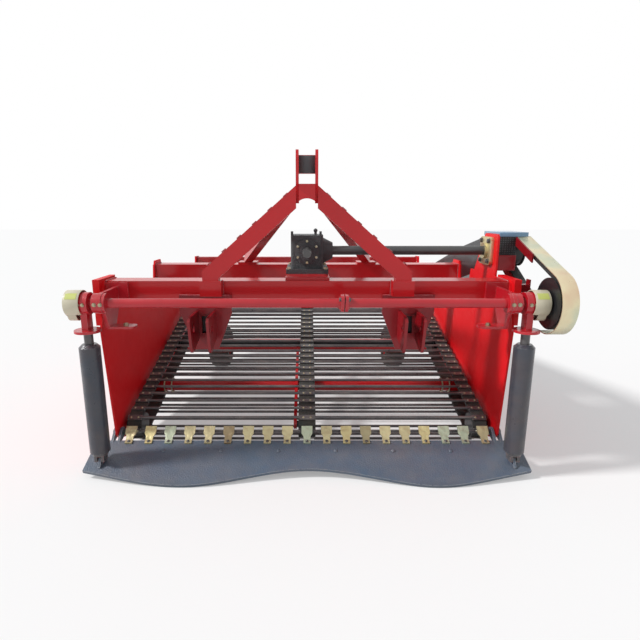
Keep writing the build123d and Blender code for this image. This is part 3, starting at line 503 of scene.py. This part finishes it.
def freshBlock(x0, x1, y0, y1, z0, z1, topScale=1.0):
    # a block in the machine's own metres, its top longer or shorter along the machine
    bpy.ops.object.select_all(action="DESELECT")
    bpy.ops.mesh.primitive_cube_add(size=1, location=at((x0 + x1) / 2, (y0 + y1) / 2, (z0 + z1) / 2))
    block = bpy.context.object
    block.scale = (abs(x1 - x0), y1 - y0, z1 - z0)
    placeInMesh(block)
    if topScale != 1.0:
        pickFaces(block, facing(0, 0, 1))
        bpy.ops.transform.resize(value=(1, topScale, 1))
        leaveEdit()
    return block


alongX, alongY, alongZ = (0, pi / 2, 0), (pi / 2, 0, 0), (0, 0, 0)
# Corners round a bar
corners = {"boss": 48, "case": 64, "cover": 96, "washer": 24, "hexagon": 6}


def freshBar(radius, depth, middle, turn, kind="boss"):
    bpy.ops.object.select_all(action="DESELECT")
    bpy.ops.mesh.primitive_cylinder_add(vertices=corners[kind], radius=radius, depth=depth, location=middle,
                                        rotation=turn)
    bar = bpy.context.object
    placeInMesh(bar)
    return bar


def freshBall(radius, segments, rings=6):
    bpy.ops.object.select_all(action="DESELECT")
    bpy.ops.mesh.primitive_uv_sphere_add(segments=segments, ring_count=rings, radius=radius)
    return bpy.context.object


def softEdges(piece, width, segments=2):
    applied(piece, "BEVEL", width=width, segments=segments, limit_method="ANGLE", angle_limit=radians(35))


def wallThickness(piece, thickness, offset=-1):
    applied(piece, "SOLIDIFY", thickness=thickness, offset=offset)


def carve(piece, tools, operation="DIFFERENCE"):
    for tool in tools:
        applied(piece, "BOOLEAN", operation=operation, solver="EXACT", object=tool)
        bpy.data.objects.remove(tool)


mergeWithin = 0.00002


def startFrom(node):
    # the node's own mesh, merged, as the start of a piece that replaces it
    piece = bpy.data.objects.new(node + "Start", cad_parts[node].data.copy())
    bpy.context.scene.collection.objects.link(piece)
    editAll(piece)
    bpy.ops.mesh.remove_doubles(threshold=mergeWithin)
    leaveEdit()
    bpy.ops.mesh.customdata_custom_splitnormals_clear()
    return piece


def hullOf(discs, x0, x1):
    # a case wall round two discs: both as cylinders, then their hull
    case = joined([freshBar(radius, abs(x1 - x0), at((x0 + x1) / 2, y, z), alongX, "case")
                   for y, z, radius in discs])
    editAll(case)
    bpy.ops.mesh.convex_hull()
    leaveEdit()
    return case


# Bolts, modelled once as an M12 with its washer, then copied

boltSizes = {"headRadius": 0.0104, "headHeight": 0.0078, "washerRadius": 0.0125, "washerHeight": 0.0024,
             "inset": 0.00192, "crown": 0.00072}
rivetSizes = {"radius": 0.0052, "segments": 10, "flat": 0.55}


def modelBolt():
    size = boltSizes
    high, head = size["washerHeight"], size["headHeight"]
    washer = freshBar(size["washerRadius"], high, (0, 0, high / 2), alongZ, "washer")
    hexagon = freshBar(size["headRadius"], head, (0, 0, high + head / 2), alongZ, "hexagon")
    insetFace(hexagon, (0, 0, 1), size["inset"], size["crown"])
    return joined([washer, hexagon])


def modelRivet():
    rivet = freshBall(rivetSizes["radius"], rivetSizes["segments"])
    editAll(rivet)
    bpy.ops.mesh.bisect(plane_co=(0, 0, 0), plane_no=(0, 0, 1), clear_inner=True, use_fill=True)
    bpy.ops.mesh.select_all(action="SELECT")
    bpy.ops.transform.resize(value=(1, 1, rivetSizes["flat"]))
    leaveEdit()
    placeInMesh(rivet)
    return rivet


boltTemplate = modelBolt()
rivetTemplate = modelRivet()


def boltRow(places, axis, size=1.0):
    return [copyTo(boltTemplate, place, axis, size) for place in places]


# Weld runs: overlapping scales in a row

weld = {"radius": 0.0042, "step": 0.0046, "segments": 8, "flat": 0.75, "sink": 0.001, "bracketInset": 0.003,
        "bracketFront": 0.012}


def weldRun(start, end, radius=weld["radius"]):
    step = weld["step"] * radius / weld["radius"]
    run = end - start
    bead = freshBall(radius, weld["segments"])
    bead.scale = (weld["flat"], 1.0, 1.0)
    placeInMesh(bead)
    applied(bead, "ARRAY", use_relative_offset=False, use_constant_offset=True,
            constant_offset_displace=(step, 0, 0), count=max(2, int(run.length / step)))
    turn = run.to_track_quat("X", "Z").to_matrix().to_4x4()
    bead.data.transform(Matrix.Translation(start) @ turn)
    return bead


def beamWelds(node):
    low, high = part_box(node)
    beads = []
    for x in (low.x + weld["sink"], high.x - weld["sink"]):
        corners = [Vector((x, low.y, low.z)), Vector((x, high.y, low.z)),
                   Vector((x, high.y, high.z)), Vector((x, low.y, high.z))]
        beads += [weldRun(first, second) for first, second in zip(corners, corners[1:] + corners[:1])]
    return beads


def frameWelds():
    beads = beamWelds("front_beam") + beamWelds("middle_beam") + beamWelds("rear_beam")
    for name, side in sides:
        low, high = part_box("mast_foot_" + name)
        y = frontY - weld["sink"]
        beads += [weldRun(Vector((x, y, low.z)), Vector((x, y, high.z))) for x in (low.x, high.x)]
        low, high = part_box("link_bracket_" + name)
        y = frontY - weld["bracketFront"]
        beads.append(weldRun(Vector((low.x + weld["bracketInset"], y, high.z)),
                             Vector((high.x - weld["bracketInset"], y, high.z))))
    handOver(joined(beads), "frame_welds", "weldRed", smooth=60)


footBolts = {"up": 0.020, "left": 0.011, "right": 0.080, "inset": 0.012, "size": 0.85}


def frameBolts():
    size = footBolts
    gearLow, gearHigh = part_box("gearbox")
    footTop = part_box("gearbox_mount")[1].z + size["up"]
    places = [Vector((x, y, footTop)) for x in (gearLow.x + size["left"], centreX + size["right"])
              for y in (gearLow.y + size["inset"], gearHigh.y - size["inset"])]
    handOver(joined(boltRow(places, (0, 0, 1), size["size"])), "gearbox_foot_bolts", "boltZinc")


frameWelds()
frameBolts()
print("welds and bolts made")

# A rounded shell over each cover and part of the leg's hub, with a blank yellow-green strip

coverShell = {"radius": 0.050, "inside": 0.840, "outside": 0.8975, "wall": 0.003, "from": -52, "to": 178,
              "hole": 0.023, "edge": 0.010, "crown": 0.002, "soft": 0.0012}
stripSizes = {"inside": 0.848, "outside": 0.890, "from": 28, "to": 56, "stand": 0.0007, "thick": 0.0007}


def roundWall(size, radius, side, cap=False):
    # part of a round wall about the front shaft, with its outer end closed for a cap
    shaftLow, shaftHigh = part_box("front_shaft")
    hubY, hubZ = (shaftLow.y + shaftHigh.y) / 2, (shaftLow.z + shaftHigh.z) / 2
    middle = centreX + side * (size["inside"] + size["outside"]) / 2
    wall = freshBar(radius, size["outside"] - size["inside"], (middle, hubY, hubZ), alongX, "cover")

    def unwanted(centre, normal):
        if abs(normal.x) > nearlySame:
            return not (cap and normal.x * side > 0)
        turn = degrees(atan2(centre.z - hubZ, hubY - centre.y))
        return not size["from"] < turn < size["to"]

    pickFaces(wall, unwanted)
    bpy.ops.mesh.delete(type="FACE")
    leaveEdit()
    return wall


def coverPieces(name, side):
    size = coverShell
    shell = roundWall(size, size["radius"], side, cap=True)
    pickFaces(shell, facing(side, 0, 0))
    bpy.ops.mesh.inset(thickness=size["edge"])
    bpy.ops.transform.translate(value=(side * size["crown"], 0, 0))
    if side > 0:
        # the belt's shaft comes out through the right one
        bpy.ops.mesh.inset(thickness=size["radius"] - size["edge"] - size["hole"])
        bpy.ops.mesh.delete(type="FACE")
    leaveEdit()
    wallThickness(shell, size["wall"])
    softEdges(shell, size["soft"])
    handOver(shell, "cover_shell_" + name, "creamPaint", smooth=40)
    strip = roundWall(stripSizes, size["radius"] + stripSizes["stand"], side)
    wallThickness(strip, stripSizes["thick"])
    handOver(strip, "cover_strip_" + name, "labelStrip", smooth=40)


for name, side in sides:
    coverPieces(name, side)
print("covers made")

# Side plates with their top edges let down between the beams, and ears at the middle beam

plateDips = {"right": (0.470, 0.605, 0.684), "left": (0.135, 0.605, 0.684), "rear": (0.775, 1.560, 0.650),
             "cut": (0.810, 0.828), "deep": 0.150, "slope": 0.060, "ear": (0.630, 0.750, 0.768, 0.795),
             "earThick": 0.008, "earSlope": 0.024}


def loweredPlate(name, side):
    size = plateDips
    plate = startFrom("side_plate_" + name)
    inside, outside = size["cut"]
    tools = []
    for first, last, low in (size[name], size["rear"]):
        run = last - first
        tools.append(freshBlock(side * inside, side * outside, first, last, low, low + size["deep"],
                                (run + size["slope"]) / run))
    carve(plate, tools)
    first, last, low, high = size["ear"]
    run = last - first
    ear = freshBlock(side * plateIn, side * (plateIn + size["earThick"]), first, last, low, high,
                     (run - size["earSlope"]) / run)
    carve(plate, [ear], "UNION")
    # the lighter red on the side wall is painted sunlight
    handOver(plate, "side_wall_" + name, "litPlatePaint")
    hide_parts("side_plate_" + name)


for name, side in sides:
    loweredPlate(name, side)
print("side plates made")

# Link brackets, open between the ears, with a slot through the back plate and a black plate behind the slot as
# painted shade; the ears take the darker red, also painted shade

bracketCuts = {"middle": 0.4125, "half": 0.030, "capRun": (-0.130, -0.012), "cap": (0.640, 0.660),
               "slotHalf": 0.019, "slotRun": (-0.030, 0.010), "slot": (0.560, 0.632), "soft": 0.0015,
               "shadeRun": (0.000, 0.004), "shadeOver": 0.010, "shadeSoft": 0.001}


def openBracket(name, side):
    size = bracketCuts
    middle = side * size["middle"]
    left, right = middle - size["half"], middle + size["half"]
    bracket = startFrom("link_bracket_" + name)
    carve(bracket, [freshBlock(left, right, *size["capRun"], *size["cap"]),
                    freshBlock(middle - size["slotHalf"], middle + size["slotHalf"], *size["slotRun"],
                               *size["slot"])])
    softEdges(bracket, size["soft"])
    handOver(bracket, "link_ears_" + name, "shadedRedPaint")
    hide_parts("link_bracket_" + name)
    # A black plate behind the slot: painted shade between the ears
    low, high = size["slot"]
    plate = freshBlock(left, right, *size["shadeRun"], low - size["shadeOver"], high + size["shadeOver"])
    softEdges(plate, size["shadeSoft"])
    handOver(plate, "slot_shade_plate_" + name, "blackPaint")


for name, side in sides:
    openBracket(name, side)
print("link brackets made")

# The chain case, with its bend where the photograph shows its top edge fall

caseShape = {"inside": 0.823, "outside": 0.885, "edge": 0.005,
             "bends": ((crossY, shaftZ, 0.072), (0.620, 0.790, 0.082), (1.640, 0.491, 0.104))}


def chainCase():
    size = caseShape
    first, bend, last = size["bends"]
    case = hullOf((first, bend), size["inside"], size["outside"])
    carve(case, [hullOf((bend, last), size["inside"], size["outside"])], "UNION")
    softEdges(case, size["edge"], 3)
    handOver(case, "drive_case", "blackPaint")
    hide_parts("chain_case")


chainCase()
print("chain case made")

# The flange bearing: a low boss on the CAD flange

flangeBearing = {"boss": 0.034, "proud": 0.011, "flange": 0.799, "cut": (0.160, 0.320, 0.800, 0.960),
                 "cutFrom": 0.760, "inset": 0.006, "sunk": 0.003, "soft": 0.002}


def flangeUnit():
    size = flangeBearing
    unit = startFrom("cross_shaft_bearing")
    carve(unit, [freshBlock(size["cutFrom"], size["flange"], *size["cut"])])
    boss = freshBar(size["boss"], size["proud"], at(size["flange"] - size["proud"] / 2, crossY, shaftZ), alongX)
    insetFace(boss, (-1, 0, 0), size["inset"], -size["sunk"])
    softEdges(unit, size["soft"])
    unit = joined([unit, boss])
    handOver(unit, "flange_bearing", "bearingZinc")
    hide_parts("cross_shaft_bearing")


flangeUnit()

# The strap and its frame end under the hood, whose lid is painted blue as a painted reflection of the sky and which
# has a dark front; the ring and the tower panel take the darker red as painted shade

hood = {"strapCut": (0.880, 0.980, 0.158, 0.400, 0.850, 1.000), "strapSoft": 0.0012,
        "ringCut": (0.886, 0.920, 0.150, 0.400, 0.900, 1.000), "lidSoft": 0.002, "sheetSoft": 0.001, "top": 0.957,
        "lid": (0.824, 0.945, 0.146, 0.330), "lidThick": 0.006, "lidInset": 0.003, "lip": 0.012,
        "lipThick": 0.003, "overlap": 0.001, "front": (0.823, 0.899, 0.149, 0.152, 0.864, 0.959),
        "panel": (0.823, 0.899, 0.140, 0.148, 0.800, 0.866), "panelInset": 0.006, "panelSunk": 0.002}


def hoodPieces():
    strap = startFrom("belt_guard")
    carve(strap, [freshBlock(*hood["strapCut"])])
    softEdges(strap, hood["strapSoft"])
    handOver(strap, "guard_strap", "guardZinc")
    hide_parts("belt_guard")
    ring = startFrom("guard_frame")
    carve(ring, [freshBlock(*hood["ringCut"])])
    handOver(ring, "guard_ring", "shadedRedPaint")
    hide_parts("guard_frame")
    x0, x1, y0, y1 = hood["lid"]
    lid = freshBlock(x0, x1, y0, y1, hood["top"], hood["top"] + hood["lidThick"])
    insetFace(lid, (0, 0, -1), hood["lidInset"])
    rise = (hood["top"] - hood["lip"], hood["top"] + hood["overlap"])
    carve(lid, [freshBlock(x0, x1, y0, y0 + hood["lipThick"], *rise),
                freshBlock(x0, x0 + hood["lipThick"], y0, y1, *rise)], "UNION")
    softEdges(lid, hood["lidSoft"])
    # the lid's blue is painted sky reflection
    handOver(lid, "hood_lid", "lidSkyReflection")
    front = freshBlock(*hood["front"])
    softEdges(front, hood["sheetSoft"])
    handOver(front, "hood_front", "darkSteel")
    panel = freshBlock(*hood["panel"])
    insetFace(panel, (0, -1, 0), hood["panelInset"], -hood["panelSunk"])
    softEdges(panel, hood["sheetSoft"])
    handOver(panel, "tower_panel", "shadedRedPaint")


hoodPieces()
print("hood and strap made")

# Rivets that hold each rod's flats on the three belts

rodRivet = {"merge": 1e-6, "belt": 0.030, "apart": 0.016, "lift": 0.0015}


def rodCentres():
    # the middle of each rod, from the separate forms of the CAD piece
    work = bmesh.new()
    work.from_mesh(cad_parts["web_rods"].data)
    bmesh.ops.remove_doubles(work, verts=work.verts, dist=rodRivet["merge"])
    centres = []
    seen = set()
    for first in work.verts:
        if first in seen:
            continue
        island, queue = [], [first]
        seen.add(first)
        while queue:
            vert = queue.pop()
            island.append(vert.co)
            for edge in vert.link_edges:
                other = edge.other_vert(vert)
                if other not in seen:
                    seen.add(other)
                    queue.append(other)
        ys = [co.y for co in island]
        zs = [co.z for co in island]
        centres.append(Vector((centreX, (min(ys) + max(ys)) / 2, (min(zs) + max(zs)) / 2)))
    work.free()
    return centres


def rodRivets():
    centres = rodCentres()
    middle = sum(centres, Vector()) / len(centres)
    low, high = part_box("web_belts")
    rivets = []
    for index, centre in enumerate(centres):
        run = centres[(index + 1) % len(centres)] - centres[index - 1]
        outward = Vector((0, -run.z, run.y)).normalized()
        if (centre - middle).dot(outward) < 0:
            outward.negate()
        for x in (low.x + rodRivet["belt"], centreX, high.x - rodRivet["belt"]):
            for dx in (-rodRivet["apart"], rodRivet["apart"]):
                place = Vector((x + dx, centre.y, centre.z)) + outward * rodRivet["lift"]
                rivets.append(copyTo(rivetTemplate, place, outward))
    handOver(joined(rivets), "web_rivets", "boltZinc", smooth=60)


rodRivets()
print("web rivets made")

boltGroups = {
    "bearing": {"x": 0.799, "spread": 0.044, "size": 0.9},
    "coupling": {"across": 0.036, "up": 0.020, "ends": ((0.126, -1), (0.154, 1)), "size": 0.7},
    "tab": {"x": 0.712, "y": -0.090, "z": 0.612, "size": 0.9},
    "ring": {"x": (0.764, 0.786), "y": -0.188, "size": 0.62},
    "hub": {"x": (0.827, 0.845), "y": -0.192, "size": 0.55},
    "caseFace": {"inset": 0.016, "apart": 0.2, "size": 0.6},
}


def shaftBolts():
    group = boltGroups["bearing"]
    places = [at(group["x"], crossY + dy * group["spread"], shaftZ + dz * group["spread"])
              for dy in (-1, 1) for dz in (-1, 1)]
    handOver(joined(boltRow(places, (-1, 0, 0), group["size"])), "bearing_bolts", "darkSteel")
    group = boltGroups["coupling"]
    bolts = []
    for x, axis in group["ends"]:
        bolts += boltRow([at(x, eccentricY - d * group["across"], eccentricZ + d * group["up"]) for d in (-1, 1)],
                         (axis, 0, 0), group["size"])
    handOver(joined(bolts), "coupling_bolts", "darkSteel", "front_shaft")
    group = boltGroups["tab"]
    bolts = boltRow([at(side * group["x"], group["y"], group["z"]) for side in (-1, 1)], (0, 0, 1), group["size"])
    group = boltGroups["ring"]
    bolts += boltRow([at(side * x, group["y"], eccentricZ) for side in (-1, 1) for x in group["x"]],
                     (0, -1, 0), group["size"])
    handOver(joined(bolts), "shaft_bearing_bolts", "boltZinc")
    group = boltGroups["hub"]
    for name, side in sides:
        bolts = boltRow([at(side * x, group["y"], eccentricZ) for x in group["x"]], (0, -1, 0), group["size"])
        handOver(joined(bolts), "hub_bolts_" + name, "boltZinc", "share_leg_" + name)


def caseBolts():
    group = boltGroups["caseFace"]
    places = []
    for first, second in zip(caseShape["bends"], caseShape["bends"][1:]):
        run = Vector((second[0] - first[0], second[1] - first[1]))
        across = Vector((-run.y, run.x)).normalized()
        count = max(2, int(run.length / group["apart"]))
        for step in range(count):
            share = (step + 0.5) / count
            reach = first[2] + (second[2] - first[2]) * share - group["inset"]
            places += [at(caseShape["outside"], first[0] + run.x * share + edge * across.x * reach,
                          first[1] + run.y * share + edge * across.y * reach) for edge in (-1, 1)]
    handOver(joined(boltRow(places, (1, 0, 0), group["size"])), "case_bolts", "boltZinc")


# One rivet on the foot of each finger, and flat heads across the share

shareSlope = {"tipY": -0.251, "tipZ": 0.01312, "turn": radians(20.4)}
fingerRow = {"count": 19, "pitch": 0.0845, "along": 0.218, "thick": 0.006, "size": 1.3}
shareHeads = {"xs": (0.12, 0.36, 0.60), "along": 0.170, "size": 1.5}


def onShare(x, along, lift):
    turn = shareSlope["turn"]
    return at(x, shareSlope["tipY"] + along * cos(turn) - lift * sin(turn),
              shareSlope["tipZ"] + along * sin(turn) + lift * cos(turn))


def shareRivets():
    axis = (0, -sin(shareSlope["turn"]), cos(shareSlope["turn"]))
    row = fingerRow
    first = -(row["count"] - 1) / 2 * row["pitch"]
    rivets = [copyTo(rivetTemplate, onShare(first + k * row["pitch"], row["along"], row["thick"]), axis,
                     row["size"]) for k in range(row["count"])]
    handOver(joined(rivets), "finger_rivets", "darkSteel", "share", smooth=60)
    heads = [copyTo(rivetTemplate, onShare(side * x, shareHeads["along"], 0), axis, shareHeads["size"])
             for x in shareHeads["xs"] for side in (-1, 1)]
    handOver(joined(heads), "share_bolt_heads", "sharePaintAndReflection", "share", smooth=60)


# A round flange with small bolts on the gearbox's front

inputFlange = {"front": 0.155, "radius": 0.054, "depth": 0.007, "inset": 0.016, "lip": 0.003, "bolts": 6,
               "boltReach": 0.045, "size": 0.5}


def gearboxFlange():
    size = inputFlange
    ring = freshBar(size["radius"], size["depth"], at(0, size["front"] - size["depth"] / 2, shaftZ), alongY)
    insetFace(ring, (0, -1, 0), size["inset"], size["lip"])
    turns = [2 * pi * (step + 0.5) / size["bolts"] for step in range(size["bolts"])]
    reach, front = size["boltReach"], size["front"] - size["depth"]
    places = [at(reach * cos(turn), front, shaftZ + reach * sin(turn)) for turn in turns]
    handOver(ring, "gearbox_flange", "castGrey")
    handOver(joined(boltRow(places, (0, -1, 0), size["size"])), "flange_bolts", "boltZinc")


# The perforated front of the hood over the upper pulley

hoodGrille = {"left": 0.826, "right": 0.897, "low": 0.868, "high": 0.944, "y": 0.148, "columns": 7, "rows": 8,
              "bar": 0.0024, "thick": 0.002}


def hoodFront():
    size = hoodGrille
    bpy.ops.object.select_all(action="DESELECT")
    bpy.ops.mesh.primitive_grid_add(
        x_subdivisions=size["columns"], y_subdivisions=size["rows"], size=1, rotation=alongY,
        location=at((size["left"] + size["right"]) / 2, size["y"], (size["low"] + size["high"]) / 2))
    grille = bpy.context.object
    grille.scale = (size["right"] - size["left"], size["high"] - size["low"], 1)
    placeInMesh(grille)
    pickFaces(grille, lambda centre, normal: True)
    bpy.ops.mesh.inset(thickness=size["bar"], use_individual=True)
    bpy.ops.mesh.delete(type="FACE")
    leaveEdit()
    wallThickness(grille, size["thick"], 0)
    handOver(grille, "hood_grille", "blackPaint")


# Zinc U-bolts that hold the lower tube near its ends

tubeClamp = {"xs": (0.722, 0.686), "rod": 0.0040, "size": 0.6}


def tubeClamps():
    low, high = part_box("lower_tube")
    middleY, middleZ = (low.y + high.y) / 2, (low.z + high.z) / 2
    radius = (high.z - low.z) / 2 + tubeClamp["rod"]
    clamps = []
    for side in (-1, 1):
        for reach in tubeClamp["xs"]:
            x = centreX + side * reach
            bpy.ops.object.select_all(action="DESELECT")
            bpy.ops.mesh.primitive_torus_add(major_segments=32, minor_segments=8, major_radius=radius,
                                             minor_radius=tubeClamp["rod"], location=(x, middleY, middleZ),
                                             rotation=alongX)
            ring = bpy.context.object
            placeInMesh(ring)
            places = [Vector((x, middleY + dy, middleZ)) for dy in (-radius, radius)]
            clamps += [ring] + boltRow(places, (0, 0, 1), tubeClamp["size"])
    handOver(joined(clamps), "tube_clamps", "boltZinc")


# Short welds in steps along the mast legs' outer edges

legStitch = {"foot": (0.415, 0.824), "head": (0.050, 1.139), "front": -0.0385, "count": 6, "fill": 0.30,
             "radius": 0.0028}


def mastStitches():
    size = legStitch
    beads = []
    for side in (-1, 1):
        start = at(side * size["foot"][0], size["front"], size["foot"][1])
        end = at(side * size["head"][0], size["front"], size["head"][1])
        for step in range(size["count"]):
            first = start.lerp(end, (step + 0.5 - size["fill"] / 2) / size["count"])
            last = start.lerp(end, (step + 0.5 + size["fill"] / 2) / size["count"])
            beads.append(weldRun(first, last, size["radius"]))
    handOver(joined(beads), "mast_stitches", "weldRed", smooth=60)


# A dark plate as painted shade between the head's ears, a thread's breadth in front of its back

headShadePlate = {"block": (-0.0308, 0.0308, -0.0135, -0.0120, 1.192, 1.256), "soft": 0.0004}


def headPaintedShade():
    plate = freshBlock(*headShadePlate["block"])
    softEdges(plate, headShadePlate["soft"])
    handOver(plate, "head_painted_shade", "darkSteel")


# Six splines on the input shaft's end

splines = {"count": 6, "radius": 0.0162, "wide": 0.0062, "tall": 0.0024, "front": 0.057, "back": 0.118,
           "soft": 0.0008}


def shaftSplines():
    size = splines
    low = shaftZ + size["radius"]
    middle = at(0, 0, shaftZ)
    keys = []
    for step in range(size["count"]):
        key = freshBlock(-size["wide"] / 2, size["wide"] / 2, size["front"], size["back"], low, low + size["tall"])
        softEdges(key, size["soft"])
        turn = Matrix.Rotation(2 * pi * step / size["count"], 4, "Y")
        key.data.transform(Matrix.Translation(middle) @ turn @ Matrix.Translation(-middle))
        keys.append(key)
    handOver(joined(keys), "shaft_splines", "darkSteel", "pto_shaft")


shaftBolts()
caseBolts()
shareRivets()
gearboxFlange()
hoodFront()
tubeClamps()
mastStitches()
headPaintedShade()
shaftSplines()
print("small fittings made")

for template in (boltTemplate, rivetTemplate):
    bpy.data.objects.remove(template)

# Floor, light and camera

studio = {"sunStrength": 3.0, "sunAngle": 8, "sunFrom": (-0.96, -0.14, 0.84), "sky": (0.93, 0.96, 1.0),
          "skyStrength": 0.52, "floor": (0.86, 0.85, 0.84), "floorGlow": 0.32, "floorSize": 60}
white = (1, 1, 1, 1)


def seenBy(tree, *rays):
    path = addNode(tree, "LightPath").outputs
    seen = path["Is Camera Ray"]
    for ray in rays:
        seen = combine(tree, "ADD", seen, path["Is " + ray + " Ray"])
    return seen


def makeFloor():
    bpy.ops.mesh.primitive_plane_add(size=studio["floorSize"], location=(0, 0, 0))
    floor = bpy.context.object
    floor.name = "floor"
    material, tree = emptyMaterial("paleFloor")
    share = combine(tree, "MULTIPLY", seenBy(tree, "Glossy"), studio["floorGlow"])
    diffuse = addNode(tree, "BsdfDiffuse", {"Color": rgba(studio["floor"])})
    glow = addNode(tree, "Emission", {"Color": white, "Strength": 1.0})
    mix = addNode(tree, "MixShader", {0: share, 1: diffuse.outputs[0], 2: glow.outputs[0]})
    addNode(tree, "OutputMaterial", {"Surface": mix.outputs[0]})
    floor.data.materials.append(material)


def makeLight():
    world = bpy.data.worlds.new("softSky")
    bpy.context.scene.world = world
    world.use_nodes = True
    tree = world.node_tree
    tree.nodes.clear()
    sky = addNode(tree, "Background", {"Color": rgba(studio["sky"]), "Strength": studio["skyStrength"]})
    plain = addNode(tree, "Background", {"Color": white, "Strength": 1.0})
    mix = addNode(tree, "MixShader", {0: seenBy(tree, "Transmission", "Glossy"), 1: sky.outputs[0],
                                      2: plain.outputs[0]})
    addNode(tree, "OutputWorld", {"Surface": mix.outputs[0]})
    sun = bpy.data.lights.new("sun", "SUN")
    sun.energy = studio["sunStrength"]
    sun.angle = radians(studio["sunAngle"])
    lamp = bpy.data.objects.new("sun", sun)
    bpy.context.scene.collection.objects.link(lamp)
    lamp.rotation_euler = Vector(studio["sunFrom"]).to_track_quat("Z", "Y").to_euler()


cameraSetting = {"place": (0.0, -1.894, 1.040), "pitch": -12.7, "focalPixels": 471.0, "frame": 640.0,
                 "centrePixel": 307.0, "sensor": 36.0}


def makeCamera():
    size = cameraSetting
    data = bpy.data.cameras.new("camera")
    data.sensor_width = size["sensor"]
    data.lens = size["focalPixels"] / size["frame"] * size["sensor"]
    data.shift_x = (size["frame"] / 2 - size["centrePixel"]) / size["frame"]
    camera = bpy.data.objects.new("camera", data)
    bpy.context.scene.collection.objects.link(camera)
    camera.location = at(*size["place"])
    camera.rotation_euler = (radians(90 + size["pitch"]), 0, 0)
    bpy.context.scene.camera = camera


makeFloor()
makeLight()
makeCamera()
bpy.context.scene.view_settings.view_transform = "Standard"
print("stage and camera set")
